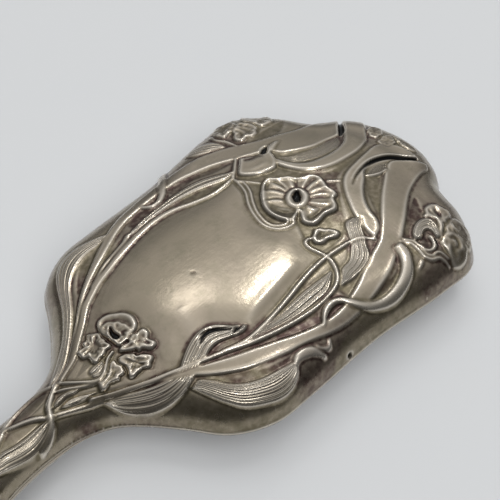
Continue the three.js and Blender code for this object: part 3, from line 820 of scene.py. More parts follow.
def paint_small_flower(relief):
    """The open flower at the neck's end of the panel: five ruffled petals, a hood and its stem."""
    relief.band([(-62.3, -0.8), (-61, -0.5), (-58.6, -0.8)], [(-62.5, -2.9), (-61.3, -3.6), (-59.2, -2.8)],
                lift=0.35, crown=0.1, ribs=2, rib=0.2)
    for outline, ruffle in (
        ([(-56.9, -2.9), (-56.7, -4.7), (-57.3, -6.4), (-58.3, -6.8), (-60, -6.5), (-61.4, -6.2),
          (-62.8, -6), (-63.3, -5), (-62.8, -4.1), (-61, -4.4), (-59.5, -3.8), (-58.2, -2.8)], 0.8),
        ([(-55.8, -2.6), (-54, -3.6), (-52.6, -5.6), (-51.3, -6.9), (-50.8, -8), (-51.4, -9.1),
          (-52.6, -9.5), (-53.7, -8.8), (-55.2, -8.8), (-56.3, -9), (-57.1, -8.2), (-57, -7.1),
          (-56.4, -5.7), (-56.3, -4)], 1.0),
        ([(-54.4, -2.2), (-53.4, -1.5), (-52, -1.6), (-50.3, -1.1), (-48.8, -1.3), (-47.3, -2.1),
          (-47.1, -3.2), (-48.1, -4.4), (-48.2, -5.9), (-48.8, -6.9), (-49.7, -7), (-50.9, -5.5),
          (-52.8, -4.1)], 1.0),
        ([(-55.9, 7.1), (-54.5, 6.4), (-54.4, 4.8), (-54.3, 3), (-55.1, 0.7), (-56.2, -0.2), (-57.9, -0.3),
          (-59.8, -0.3), (-60.4, 1.5), (-60.7, 3.8), (-60.3, 4.8), (-58.8, 5.3), (-56.7, 6.2)], 1.3),
        ([(-53.1, 6.9), (-51.9, 7.8), (-50.2, 7.8), (-48.8, 7), (-47.4, 5.5), (-46.4, 3.6), (-46.5, 1.6),
          (-47.5, 0), (-49.3, -0.9), (-51.6, -0.9), (-53.8, 0.2), (-53.9, 2.4), (-53.9, 4.4)], 0.2),
    ):
        relief.petal(outline, lift=0.78, dish=0.42, bead=0.2, ruffle=ruffle, lip=0.6)
    relief.petal([(-52.9, 5.6), (-53.6, 4), (-53.7, 2.2), (-54.1, 0.1), (-53.6, -1), (-52.3, -1.3),
                  (-50.9, -1.2), (-49.5, -0.2), (-48.7, 2), (-49.4, 3.6), (-50, 5), (-51.2, 6)],
                 lift=0.7, dish=0.35, bead=0.22, ruffle=0.7)
    relief.creases((
        [(-54.8, -4.2), (-54.2, -5.4), (-54.6, -7)], [(-53.8, -4.8), (-52.8, -6.4), (-51.9, -7.5)],
        [(-51.8, -3.2), (-50.6, -3), (-49.4, -3.4)],
    ), 0.45, -0.32)
    relief.creases((
        [(-55.6, -6.8), (-54.6, -7.8), (-53, -8.2)], [(-58.3, -3.7), (-59.2, -5.1), (-60.9, -5.5)],
        [(-48.4, -2.8), (-48.9, -4), (-49.4, -5.8)], [(-50.5, 1.3), (-51.5, 0.1)],
        [(-54.9, -2.3), (-52.9, -3.9), (-50.3, -6.4)],
    ), 0.4, 0.3, dark=0.85)
    relief.stem([(-55.6, -1), (-57.5, -1.5), (-58.8, -2.4), (-60.1, -3.3), (-61.8, -3.8), (-63.2, -3.2),
                 (-64.8, -1.7), (-66.4, 0), (-67.8, 1.9)], (0.3, 0.45, 0.5, 0.45, 0.4), lift=0.62)
    relief.tear([(-51.6, 4.1), (-52.3, 2.7), (-52.5, 1.3)], (0.12, 0.45, 0.75), depth=0.9)


def paint_near_corner(relief):
    """The full flower on the -Y corner: curled petals round a dark throat, over a double rim."""
    relief.petal([(25.3, -33.2), (27.7, -31.9), (30.2, -31.8), (32, -33.2), (32, -35.6), (30.6, -38),
                  (27.4, -39.6), (23.6, -40.6), (20, -41), (18.4, -40), (19, -38.4), (19.7, -36.6),
                  (21.4, -34.6), (23, -33.7)], lift=0.5, dish=0.2, bead=0.15, ruffle=1.0)
    relief.petal([(24.9, -27), (27.4, -25.6), (30.2, -25.2), (31.7, -26.6), (31.9, -29.2), (30.6, -31.3),
                  (27.2, -31.7), (24, -33.1), (21.8, -34.1), (22.5, -32.7), (24.6, -31.3), (26, -29.7),
                  (25.9, -28.1)], lift=0.6, dish=0.22, bead=0.22, ruffle=0.8)
    relief.creases((
        [(22.8, -33), (25.6, -31.2), (27.4, -28.6), (28.6, -26.4)],
        [(23.4, -33), (26.6, -31), (29.4, -29.2), (30.6, -27.4)],
    ), 0.35, -0.22)
    # A darkness past 1 paints black shade into this fold.
    relief.crease([(29.4, -28.2), (28.6, -29.2), (27.6, -30)], 0.45, 0.45, dark=1.2)
    relief.crease([(27.2, -34.1), (27.8, -34.3)], 0.9, -0.8)
    relief.crease([(24, -34.6), (25.6, -35.4), (25.8, -37.2), (24, -38.6), (21.8, -38.6)], 0.45, -0.35)
    relief.crease([(22.4, -35.9), (23.8, -36.3), (23.4, -37.4), (22, -37.5)], 0.35, -0.4)
    relief.crease([(23.2, -35.2), (24.8, -36.2), (24, -37.8), (22, -38)], 0.35, 0.35, dark=0.9)
    # The throat's darkness past 1 is drawn black, as painted shade.
    relief.petal([(17.6, -30.4), (20, -29.6), (21.6, -31), (21.4, -33), (19.8, -34.6), (17.4, -35),
                  (15.8, -33.6), (15.8, -31.8)], lift=0.1, dish=0.4, bead=0.0, dark=1.25)
    relief.band(  # petal that curls over the throat
        [(16.6, -29.6), (17.6, -28.4), (19.5, -27.3), (22.1, -26.7), (24.6, -27.2), (25.7, -28.8),
         (24.9, -30.8), (23.2, -32.5), (21.5, -33.5)],
        [(16.6, -29.8), (18, -30.6), (19.4, -30.1), (20.7, -29.8), (21.7, -30.3), (21.8, -31.2),
         (21.5, -32.1), (21.2, -33), (21.5, -33.5)],
        lift=0.72, crown=0.35, bead=(0.1, 0.3), ribs=3, rib=0.25,
    )
    relief.stem([(20.2, -31.8), (19.6, -33.2), (18.2, -34.4), (16.6, -34.4), (15.8, -33.2), (16.2, -31.8)],
                (0.55, 0.5, 0.4, 0.35, 0.25), lift=0.65)
    for gap, width in ((0.0, 0.42), (1.05, 0.3)):
        relief.stem([(13.6 + gap, -27.6), (15 + gap, -29.6), (14.6 + gap, -32.2), (14 + gap, -34.2),
                     (14.8 + gap, -36 + gap / 2), (16.8 + gap, -36.8 + gap), (17.4 + gap, -38 + gap),
                     (17.6 + gap, -39.4 + gap)], (0.3, width, width, 0.3), lift=0.55)
    relief.crease([(11.5, -34.7), (11.7, -35.3)], 1.3, -0.7)
    relief.tear([(20.8, -32.7), (20.1, -33.7), (19.5, -34.6)], (0.15, 0.4, 0.2), depth=0.7)


def paint_far_corner(relief):
    """The flower on the +Y corner, seen from the side."""
    for outline, ruffle in (
        ([(15.4, 34.4), (16.6, 37), (19, 38.6), (21.8, 38.4), (23.7, 36.3), (22.7, 33.9), (19.8, 32.7),
          (16.8, 32.8)], 1.2),
        ([(26, 34.4), (28.6, 37), (32, 37), (34.2, 34.4), (33.3, 30.4), (31.4, 27.9), (28.7, 27.9),
          (26.9, 28.8), (26.4, 31)], 0.5),
        ([(18.3, 30.9), (17.1, 28.9), (18.4, 27.4), (20.3, 27.2), (22.8, 26.6), (25.4, 28.6), (26.7, 30.9),
          (25.4, 33.2), (23.3, 34.4), (20.9, 33.2)], 0.9),
    ):
        relief.petal(outline, lift=0.6, dish=0.3, bead=0.28, ruffle=ruffle)
    relief.creases((
        [(21.4, 33.4), (21.8, 31), (21, 28.8)], [(22.6, 33), (23.6, 31), (23.6, 29)],
        [(27.2, 30.6), (29.6, 31.4), (31.4, 33.4)], [(22.5, 39), (24.4, 37.8), (27, 37.4)],
    ), 0.45, -0.3)
    relief.crease([(26.4, 33.6), (26.2, 31.4), (26.8, 29)], 0.4, 0.3, dark=0.8)
    relief.stem([(15.1, 36.4), (14.2, 33.8), (15.2, 30.8), (15.4, 26.9)], (0.3, 0.5, 0.55, 0.3), lift=0.5)


def paint_tip_flower(relief):
    """The half-open flower that wraps over the tip."""
    for outline in (
        [(44.2, 1.2), (43.9, 3.3), (45.2, 5), (46.9, 5.9), (49.2, 5.4), (50.2, 4), (48.6, 2.2), (46.8, 1.1)],
        [(42.3, -1.2), (43, -3.2), (45.2, -4.1), (46.8, -3.6), (48.3, -0.9), (47.6, 0.2), (45, 0.2),
         (43.4, 0)],
        [(48.8, -0.5), (47.2, -4.2), (46.2, -6.6), (46.6, -8.6), (47.8, -10), (49.2, -8.1), (49.6, -4.6)],
    ):
        relief.petal(outline, lift=0.42, dish=0.16, bead=0.12, ruffle=0.6)


def paint_bud(relief):
    """The double stem that curls round the large flower, and the bud below it."""
    for offset in (0.0, 1.15):
        relief.stem([(4 + offset / 2, 18.6), (3, 16.6), (2.5 + offset, 14.4), (1 + offset, 11.2 - offset / 3),
                     (-2.1 + offset, 7.4 - offset / 3), (-4.4 + offset, 3.4), (-5.6 + offset, -0.8),
                     (-4.5 + offset / 2, -3.8 + offset), (-1.8, -5.4 + offset), (0.4, -5.4 + offset)],
                    (0.3, 0.34, 0.36, 0.34, 0.3), lift=0.45)
    relief.stem([(3, 17.9), (4.4, 14.4), (6.4, 10.4)], (0.25, 0.28, 0.2), lift=0.2)
    relief.stem([(18.3, -1.6), (20.8, -4)], (0.25, 0.2), lift=0.2)
    relief.petal([(-0.4, -11.6), (-1.9, -12.7), (-1.7, -14.3), (1.8, -15.2), (3.9, -16.2), (5, -15.6),
                  (4.1, -13.2), (1.4, -10.6)], lift=0.6, dish=0.55, bead=0.4, ruffle=0.5)
    # A darkness past 1 paints black shade into the bud's fold.
    relief.crease([(-0.6, -12.6), (2, -13), (4, -13.8)], 0.8, 0.35, dark=1.4)


def paint_splits(relief):
    """The places where the silver is worn through."""
    relief.tear([(38.2, 9.2), (40.8, 10.6), (43.3, 12.7), (45.8, 14.7), (48.3, 16.3), (50.2, 16.4),
                 (52, 18), (54.2, 20)], (0.2, 0.75, 0.85, 0.6, 0.5, 0.8, 0.5))
    relief.tear([(21.3, -7.3), (25, -5.8), (28.8, -5), (32.5, -4.8), (35.8, -5.4), (38.8, -6.7),
                 (40.8, -8.3), (42.5, -10.2), (44.2, -11.8)], (0.05, 0.15, 0.3, 0.5, 0.6, 0.65, 0.4))
    relief.tear([(-42, -13.8), (-40, -13), (-38.1, -13.3), (-36.4, -14.6), (-35, -16.3)],
                (0.15, 0.45, 0.6, 0.45, 0.15), lip=0.3)
    relief.tear([(-35.2, -17.3), (-34, -17.1), (-32.7, -17.4)], (0.15, 0.4, 0.15))
    relief.tear([(16.6, 18.6), (17.8, 19.2), (19.2, 19.9)], (0.75, 0.75, 0.15))


def paint_back(grid, depth):
    """All the ornament of the back, from what lies deepest to what lies on top."""
    relief = Relief(grid[:, :, 0], grid[:, :, 1])
    paint_grounds(relief, depth)
    for paint in (
        paint_upper_ribbons, paint_knot, paint_upper_stems, paint_lower_leaves, paint_lower_ribbons,
        paint_lower_stems, paint_neck, paint_handle, paint_large_flower, paint_small_flower,
        paint_near_corner, paint_far_corner, paint_tip_flower, paint_bud, paint_splits,
    ):
        paint(relief)
    return relief


# ---------------------------------------------------------------- materials


class Shade:
    """A material with a principled shader, and short ways to add the nodes that drive it."""

    def __init__(self, name):
        self.material = bpy.data.materials.new(name)
        self.material.use_nodes = True
        self.nodes = self.material.node_tree.nodes
        self.links = self.material.node_tree.links
        self.shader = self.nodes["Principled BSDF"]
        self.place = self.nodes.new("ShaderNodeTexCoord").outputs["Object"]

    def fixed(self, **values):
        """Sets inputs of the shader, which are named with _ for a space."""
        for name, value in values.items():
            self.shader.inputs[name.replace("_", " ")].default_value = value

    def drive(self, name, output):
        self.links.new(output, self.shader.inputs[name])

    def feed(self, socket, value):
        """Sets a socket to a number or a colour, or links it to an output."""
        if isinstance(value, (int, float)):
            socket.default_value = value
        elif isinstance(value, tuple):
            socket.default_value = (*value, 1)
        else:
            self.links.new(value, socket)

    def noise(self, scale, detail=3.0, rough=0.55):
        return self.noise_at(self.place, scale, detail, rough)

    def grain(self, stretch, detail, rough=0.55, turn=0.0):
        """Noise with its own scale along each axis."""
        mapping = self.nodes.new("ShaderNodeMapping")
        mapping.inputs["Scale"].default_value = stretch
        mapping.inputs["Rotation"].default_value = (0, 0, turn)
        self.links.new(self.place, mapping.inputs["Vector"])
        return self.noise_at(mapping.outputs[0], 1.0, detail, rough)

    def noise_at(self, place, scale, detail, rough):
        node = self.nodes.new("ShaderNodeTexNoise")
        node.inputs["Detail"].default_value = detail
        node.inputs["Roughness"].default_value = rough
        node.inputs["Scale"].default_value = scale
        self.links.new(place, node.inputs["Vector"])
        return node.outputs["Fac"]

    def attribute(self, name):
        node = self.nodes.new("ShaderNodeAttribute")
        node.attribute_name = name
        return node.outputs["Fac"]

    def math(self, operation, a, b=0.0, c=0.0, clamp=False):
        node = self.nodes.new("ShaderNodeMath")
        node.operation = operation
        node.use_clamp = clamp
        for socket, value in zip(node.inputs, (a, b, c)):
            self.feed(socket, value)
        return node.outputs[0]

    def span(self, value, low, high, to_low=0.0, to_high=1.0):
        """Maps low..high to to_low..to_high and holds it there."""
        node = self.nodes.new("ShaderNodeMapRange")
        for socket, number in zip(node.inputs, (value, low, high, to_low, to_high)):
            self.feed(socket, number)
        return node.outputs[0]

    def mix(self, factor, a, b):
        node = self.nodes.new("ShaderNodeMix")
        node.data_type = "RGBA"
        self.feed(node.inputs[0], factor)
        self.feed(node.inputs[6], a)
        self.feed(node.inputs[7], b)
        return node.outputs[2]

    def finished(self, colour, rough, height, distance, strength):
        """Drives the shader's colour, roughness and bump, and returns the material."""
        node = self.nodes.new("ShaderNodeBump")
        node.inputs["Strength"].default_value = strength
        node.inputs["Distance"].default_value = distance
        self.links.new(height, node.inputs["Height"])
        self.drive("Base Color", colour)
        self.drive("Roughness", rough)
        self.drive("Normal", node.outputs[0])
        return self.material


CLEAN_SILVER, WARM_SILVER, DULL_SILVER = (0.40, 0.345, 0.26), (0.45, 0.385, 0.30), (0.34, 0.30, 0.22)
RUBBED_AND_SHEEN_SILVER, LEAF_SHEEN_SILVER, LEAF_GROOVE = (0.76, 0.70, 0.61), (0.62, 0.56, 0.47), (0.14, 0.12, 0.09)
OLIVE_TARNISH, BROWN_TARNISH = (0.175, 0.148, 0.095), (0.08, 0.048, 0.04)
HOLE_SHADE_BLACK = (0.004, 0.004, 0.004)


def silver_colour(shade, dirt_and_shade, wave):
    """Clouded metal, brown where it is tarnished and where painted shade darkens it, bright where it is
    rubbed and where a painted highlight or sheen lies, and black as painted shade in the holes.
    """
    colour = shade.mix(shade.span(shade.noise(40, 4), 0.35, 0.65), CLEAN_SILVER, WARM_SILVER)
    colour = shade.mix(shade.span(shade.noise(170, 5, 0.65), 0.5, 0.75), colour, DULL_SILVER)
    stain = shade.span(shade.noise(52, 4, 0.6), 0.47, 0.56)
    colour = shade.mix(dirt_and_shade, colour, shade.mix(stain, OLIVE_TARNISH, BROWN_TARNISH))
    # Rubbed crests, lightened partly as a painted highlight.
    colour = shade.mix(shade.attribute("rub_and_sheen"), colour, RUBBED_AND_SHEEN_SILVER)
    ribbed = shade.attribute("ribbed")
    # Painted sheen: the striated leaves are drawn lighter all over.
    colour = shade.mix(shade.math("MULTIPLY", ribbed, 0.4), colour, LEAF_SHEEN_SILVER)
    groove = shade.math("MULTIPLY", shade.span(wave, 0.1, -0.9), ribbed)
    colour = shade.mix(shade.math("MULTIPLY", groove, 0.35), colour, LEAF_GROOVE)
    # Painted shade: deep hollows, the openings of splits and the lost pin's hole are drawn black.
    return shade.mix(shade.attribute("hole"), colour, HOLE_SHADE_BLACK)


def silver_height(shade, wave):
    """Scratches, pits and shallow dents, and fine ribs on the leaves."""
    height = shade.math("MULTIPLY", shade.grain((90, 1500, 400), 2, turn=0.5), 0.2)
    height = shade.math("MULTIPLY_ADD", shade.noise(900, 2), 0.35, height)
    height = shade.math("MULTIPLY_ADD", shade.noise(110, 3), 1.2, height)
    ribs = shade.math("MULTIPLY", wave, shade.attribute("ribbed"))
    return shade.math("MULTIPLY_ADD", ribs, 0.9, height)


def silver_material():
    shade = Shade("tarnished_silver")
    shade.fixed(Metallic=1.0, Coat_Weight=0.25, Coat_Roughness=0.2)
    mottle = shade.span(shade.noise(650, 4), 0.3, 0.7, 0.55, 1.25)
    # Tarnished patches and painted shade from the mesh, clouded by noise.
    dirt_and_shade = shade.math("MULTIPLY", shade.attribute("tarnish_and_shade"), mottle, clamp=True)
    wave = shade.math("SINE", shade.math("MULTIPLY", shade.attribute("phase"), 2 * math.pi))
    rough = shade.span(shade.noise(240, 6, 0.65), 0.25, 0.75, 0.15, 0.29)
    rough = shade.math("MULTIPLY_ADD", dirt_and_shade, 0.12, rough)
    rough = shade.math("MULTIPLY_ADD", shade.attribute("ribbed"), -0.06, rough, clamp=True)
    return shade.finished(silver_colour(shade, dirt_and_shade, wave), rough, silver_height(shade, wave), 0.0001, 0.55)


def pin_material():
    shade = Shade("filed_silver")
    shade.fixed(Metallic=1.0)
    worn = shade.noise(1500, 3)
    colour = shade.mix(shade.span(worn, 0.35, 0.7), (0.50, 0.44, 0.36), (0.30, 0.25, 0.19))
    rough = shade.span(worn, 0.3, 0.7, 0.25, 0.45)
    return shade.finished(colour, rough, shade.grain((3000, 500, 3000), 2), 0.00008, 0.5)


def wood_material(name, light, dark, gloss):
    """Wood with its grain along X: long fibres, darker growth bands and fine open pores."""
    shade = Shade(name)
    bands = shade.grain((14, 260, 260), 3, 0.6, turn=0.03)
    fibres = shade.grain((90, 2400, 2400), 4, 0.7)
    pores = shade.grain((220, 3600, 3600), 1)
    colour = shade.mix(shade.span(bands, 0.35, 0.65), light, dark)
    colour = shade.mix(shade.span(fibres, 0.4, 0.75, 0, 0.6), colour, tuple(0.5 * c for c in dark))
    colour = shade.mix(shade.span(pores, 0.66, 0.72, 0, 0.8), colour, tuple(0.25 * c for c in dark))
    rough = shade.span(fibres, 0.3, 0.7, gloss, gloss + 0.2)
    height = shade.math("SUBTRACT", fibres, shade.span(pores, 0.64, 0.74))
    return shade.finished(colour, rough, height, 0.00008, 0.6)


def pitch_material():
    shade = Shade("pitch_filler")
    lumps = shade.noise(160, 5, 0.6)
    colour = shade.mix(lumps, (0.008, 0.007, 0.006), (0.035, 0.027, 0.02))
    return shade.finished(colour, shade.span(lumps, 0.3, 0.7, 0.35, 0.8), lumps, 0.0006, 0.8)


def bristle_material():
    shade = Shade("boar_bristle")
    shade.fixed(Coat_Weight=0.15, Coat_Roughness=0.35)
    hairs = shade.noise(2600, 1)
    along = shade.grain((2600, 2600, 120), 2)
    colour = shade.mix(shade.span(hairs, 0.35, 0.65), (0.56, 0.45, 0.28), (0.27, 0.18, 0.09))
    colour = shade.mix(shade.span(along, 0.5, 0.75, 0, 0.5), colour, (0.66, 0.57, 0.42))
    return shade.finished(colour, shade.span(along, 0.3, 0.7, 0.35, 0.6), along, 0.00003, 0.6)


def wire_material():
    shade = Shade("drawing_wire")
    shade.fixed(Metallic=1.0)
    dull = shade.noise(900, 3)
    colour = shade.mix(dull, (0.50, 0.33, 0.13), (0.20, 0.13, 0.06))
    rough = shade.span(dull, 0.3, 0.7, 0.3, 0.55)
    return shade.finished(colour, rough, shade.grain((400, 3000, 3000), 2), 0.00005, 0.5)


SILVER = silver_material()
PIN_SILVER = pin_material()
DARK_WOOD = wood_material("ebonised_wood", (0.095, 0.045, 0.022), (0.038, 0.017, 0.009), 0.3)
PALE_WOOD = wood_material("beech", (0.46, 0.29, 0.15), (0.33, 0.19, 0.09), 0.5)
PITCH = pitch_material()
BRISTLE = bristle_material()
WIRE = wire_material()


def finish_piece(piece, slot_name, finish, *nodes):
    """Gives a new piece its material and its body and hides the CAD nodes it stands for; slot_name is not
    used.
    """
    piece.data.materials.append(finish)
    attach(piece, "root")
    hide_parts(*nodes)


def refinish(node, finish):
    """Gives a CAD node that no new piece stands for a better material."""
    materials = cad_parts[node].data.materials
    materials.clear()
    materials.append(finish)


def nodes_named(prefix):
    return sorted(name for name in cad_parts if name.startswith(prefix))


def box_mm(node):
    """The low and high corners of a CAD node."""
    return (np.array(corner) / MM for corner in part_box(node))


# ---------------------------------------------------------------- silver pieces

STRIPS = 340
HEAD_STEP = 0.28
HANDLE_STEP = 0.7
STEP_CHANGE_X = (-95, -75)  # where the stations draw closer together
UNDERSIDE_STRIPS = 72
SKIN = 0.6  # how thick the silver is
SKIN_EVERY = 4  # the inner skin keeps every fourth station and strip
CROWN_START_X = (-62, -48)
CROWN_BLUR = 14  # in strips: takes the ridges out of the crown
PANEL_LIFT = 0.6
PANEL_EDGE = 6.0
PANEL_BLUR = 5
RELIEF = 0.68  # scales the painted heights
UNDERSIDE_RELIEF = 0.45
RELIEF_START = (0.8, 2.6)  # above the rim: the ornament fades in over this height
RIM_BEAD, RIM_BEAD_RISE, RIM_BEAD_WIDTH = 0.22, 0.55, 0.4
LOST_PIN = np.array([-18.0, -36.8, RIM_Z + 2])
LOST_PIN_DEPTH = 0.8
LOST_PIN_WALL, LOST_PIN_SHADE = (0.35, 0.9), (0.4, 0.95)  # distances from the middle of its hole
NEAR_ROUNDS, WIDE_ROUNDS = 5, 40  # of smoothing, for what is close round a point and further round it


def station_outline(head_step, handle_step):
    """The half outline with stations closer together on the head than on the handle."""
    fine = half_outline(0.1)
    run = running_length(fine)
    step = handle_step + (head_step - handle_step) * smoothstep(fine[:, 0], *STEP_CHANGE_X)
    count = np.r_[0, np.cumsum(np.diff(run) / step[1:])]
    stations = SKIN_EVERY * int(round(count[-1] / SKIN_EVERY))
    return points_along(fine, np.interp(np.linspace(0, count[-1], stations + 1), count, run))


def back_grid():
    """The back without its ornament, and each point's distance from the outline.

    The crown is blurred where its ridges meet, and the panel swells like a pillow.
    """
    grid = sheet_grid(station_outline(HEAD_STEP, HANDLE_STEP), STRIPS, back_height, RIM_Z)
    x, y = grid[:, :, 0], grid[:, :, 1]
    depth = depth_inside(x, y)
    pillow = PANEL_LIFT * domed(distance_in_panel(x, y), PANEL_EDGE)
    grid[:, :, 2] += smoothstep(x, *CROWN_START_X) * (box_blurred(crown(depth), CROWN_BLUR) - crown(depth))
    grid[:, :, 2] += box_blurred(pillow, PANEL_BLUR)
    return grid, depth


def back_relief(painted, rise, from_hole):
    """How far the back stands out: the ornament, a bead along the rim and the lost pin's hole."""
    height = RELIEF * smoothed(painted, 2)
    height *= smoothstep(rise, *RELIEF_START)
    height += RIM_BEAD * bell(rise, RIM_BEAD_RISE, RIM_BEAD_WIDTH)
    return height - LOST_PIN_DEPTH * (1 - smoothstep(from_hole, *LOST_PIN_WALL))


def below(around, height, amount):
    """How much lower a point is than what is round it, from 0 to 1, times the amount."""
    return amount * np.clip(around - height, 0, 1)


def back_wear(grid, depth, height, tarnish_and_shade):
    """Where grime has gathered, in hollows and on the roll, where painted shade darkens the roll's near side,
    and where raised edges are rubbed bright and carry a painted highlight.
    """
    near, wide = smoothed(height, NEAR_ROUNDS), smoothed(height, WIDE_ROUNDS)
    dirt_and_shade = np.clip(tarnish_and_shade, 0, 1) + below(wide, height, 2.5) + below(near, height, 14)
    # Painted shade: the roll is drawn darker on its near (-Y) side, fading out towards the tip.
    near_side_shade = smoothstep(-grid[:, :, 1], 5, 25) * (1 - smoothstep(grid[:, :, 0], 0, 40))
    roll_tarnish_and_shade = (0.5 + 0.25 * near_side_shade) * (1 - smoothstep(depth, 2.5, 9))
    # Raised edges rubbed bright, brightened further as a painted highlight on the crests.
    rub_and_sheen = np.clip(1.2 * (height - wide), 0, 0.5) + np.clip(8 * (height - near), 0, 0.5)
    return np.clip(np.maximum(dirt_and_shade, roll_tarnish_and_shade), 0, 1), rub_and_sheen


def silver_back():
    grid, depth = back_grid()
    relief = paint_back(grid, depth)
    tarnish_and_shade = relief.grid("tarnish_and_shade")
    from_hole = np.linalg.norm(grid - LOST_PIN, axis=2)
    height = back_relief(relief.grid("height"), grid[:, :, 2] - RIM_Z, from_hole)
    dirt_and_shade, rub_and_sheen = back_wear(grid, depth, height, tarnish_and_shade)
    # Painted shade: what passes 1 in the painted darkness, and the lost pin's hole, are drawn black.
    hole = np.maximum(np.clip(tarnish_and_shade - 1, 0, 1), 1 - smoothstep(from_hole, *LOST_PIN_SHADE))
    normals = grid_normals(grid)
    outer = grid + normals * height[:, :, None]
    piece = closed_sheet("silver_back_relief", outer, normals, SKIN, SKIN_EVERY)
    layers = {"tarnish_and_shade": dirt_and_shade, "rub_and_sheen": rub_and_sheen, "hole": hole,
              "phase": relief.grid("phase"), "ribbed": relief.grid("ribbed")}
    for name, values in layers.items():
        set_attribute(piece, name, grid_points(values))
    finish_piece(piece, "silver", SILVER, "silver_back")


def underside_grid():
    """The underside of the handle, without its ornament. Its last station is the open end."""
    half = station_outline(HANDLE_STEP, HANDLE_STEP)
    half = half[half[:, 0] <= STOCK_END_X - SEAM_GAP]
    grid = sheet_grid(half, UNDERSIDE_STRIPS, underside_height, RIM_Z - SEAM_GAP)
    grid[-1, :, 2] = underside_height(grid[-1, :, 0], grid[-1, :, 1])
    grid[:, :, 2] += SEAM_GAP - VISIBLE_SEAM
    return grid


def handle_underside():
    """A shell with two crossing stems, as on the top of the handle but shallower."""
    grid = underside_grid()
    relief = Relief(grid[:, :, 0], grid[:, :, 1])
    paint_twist(relief, (-168, -70), 3.6)
    depth = depth_inside(grid[:, :, 0], grid[:, :, 1])
    height = UNDERSIDE_RELIEF * smoothed(relief.grid("height"), 1) * smoothstep(depth, 0.3, 1.5)
    near, wide = smoothed(height, 2), smoothed(height, 12)
    dirt_and_shade = np.clip(below(wide, height, 3) + below(near, height, 8), 0, 1)
    outer = grid - grid_normals(grid) * height[:, :, None]
    piece = open_end_sheet("handle_underside_shell", outer, SKIN)
    # The outer and the inner end points come first, then the rest of the outer skin.
    set_attribute(piece, "tarnish_and_shade", np.concatenate([dirt_and_shade[0, :1], dirt_and_shade[0, :1], dirt_and_shade[1:].ravel()]))
    finish_piece(piece, "silver", SILVER, "handle_underside")


def ring_faces(first, second, count):
    """Side faces between two rings of vertices, given where each starts."""
    turned = [(k, (k + 1) % count) for k in range(count)]
    return [[first + k, second + k, second + n, first + n] for k, n in turned]


def lathe_faces(shares, sides):
    """Faces over rings of points, where a share of 0 is a single point."""
    faces, first = [], 0
    for share, following in zip(shares[:-1], shares[1:]):
        second = first + (sides if share else 1)
        if share and following:
            faces += ring_faces(first, second, sides)
        elif share:
            faces += [[first + k, second, first + (k + 1) % sides] for k in range(sides)]
        else:
            faces += [[first, second + k, second + (k + 1) % sides] for k in range(sides)]
        first = second
    return faces


PIN_RADIUS = 0.55
PIN_LENGTH = 4.6
PIN_SINK = 0.17  # how far the pin is filed back
PIN_DOME = 0.05
PIN_SLOPE = 0.29  # how far the roll leans back for each millimetre that it rises, at a pin
PIN_SIDES = 20
PIN_REACH = PIN_LENGTH / 2 - PIN_SINK
PIN_RINGS = [  # (place along the pin from its middle, share of the radius)
    (PIN_REACH + PIN_DOME, 0.0), (PIN_REACH + 0.8 * PIN_DOME, 0.5), (PIN_REACH, 0.9),
    (PIN_REACH - 0.15, 1.0), (0.6 - PIN_REACH, 1.0), (-PIN_REACH, 0.25), (-PIN_REACH - 0.1, 0.0),
]
TIP_X = HALF_OUTLINE[-1][0]


def way_out(place):
    """The direction in plan that points squarely out of the rim at a pin."""
    if place[0] > TIP_X - PIN_LENGTH:
        return np.array([1.0, 0, 0])
    site = np.argmin(np.hypot(COARSE_HALF[:, 0] - place[0], COARSE_HALF[:, 1] - abs(place[1])))
    along = COARSE_HALF[site + 2] - COARSE_HALF[site - 2]
    return unit(np.array([-along[1], along[0] * (1 if place[1] >= 0 else -1), 0.0]))


def rim_pin(node):
    """A pin filed nearly flush: a low domed head, a shank and a short point, lying across the rim."""
    low, high = box_mm(node)
    middle = (low + high) / 2
    out = way_out(middle)
    upward = np.array([0, 0, 1.0])
    side = np.cross(upward, out)
    points = []
    for along, share in PIN_RINGS:
        for k in range(PIN_SIDES if share else 1):
            turn = 2 * math.pi * k / PIN_SIDES
            around = side * math.cos(turn) + (upward - PIN_SLOPE * out) * math.sin(turn)
            points.append(middle + out * along + around * share * PIN_RADIUS)
    piece = make_mesh(node + "_filed", points, lathe_faces([share for _, share in PIN_RINGS], PIN_SIDES))
    finish_piece(piece, "pin_silver", PIN_SILVER, node)


# ---------------------------------------------------------------- bristles

FIBRES = 30
FIBRE_SIDES = 3
FIBRE_RINGS = [(0.0, 0.13), (0.34, 0.13), (0.62, 0.12), (0.85, 0.10), (1.0, 0.055)]  # (share, radius)
FAN_START = 0.25  # share of its length that a bristle runs straight up from the wire
GOLDEN_ANGLE = 2.39996
TUFT_PITCH = 7.0
TUFT_SPREAD = 1.7
ROOT_SPREAD = 0.85
DRAWN_Z = 16.9
WIRE_Z = 17.2
WIRE_RADIUS = 0.19
WIRE_SIDES = 5
WIRE_STEP = 0.8
STRAND_OFFSET = 0.2
STRAND_TURN = 1.9  # radians for each millimetre


def tuft_places(row):
    """The middle of each tuft of a row, from the row's box."""
    low, high = box_mm(row)
    count = int(round((high[0] - low[0] - 2 * TUFT_SPREAD) / TUFT_PITCH)) + 1
    return [(low[0] + TUFT_SPREAD + n * TUFT_PITCH, (low[1] + high[1]) / 2) for n in range(count)]


def fibre(root, tip, lean):
    """Rings of a tapered bristle from the wire to its tip."""
    rings = []
    for t, radius in FIBRE_RINGS:
        fan = max((t - FAN_START) / (1 - FAN_START), 0) ** 1.3
        middle = root + (tip - root) * np.array([fan, fan, t]) + lean * math.sin(math.pi * t) * 0.25
        for k in range(FIBRE_SIDES):
            turn = 2 * math.pi * k / FIBRE_SIDES
            rings.append(middle + radius * np.array([math.cos(turn), math.sin(turn), 0]))
    return rings


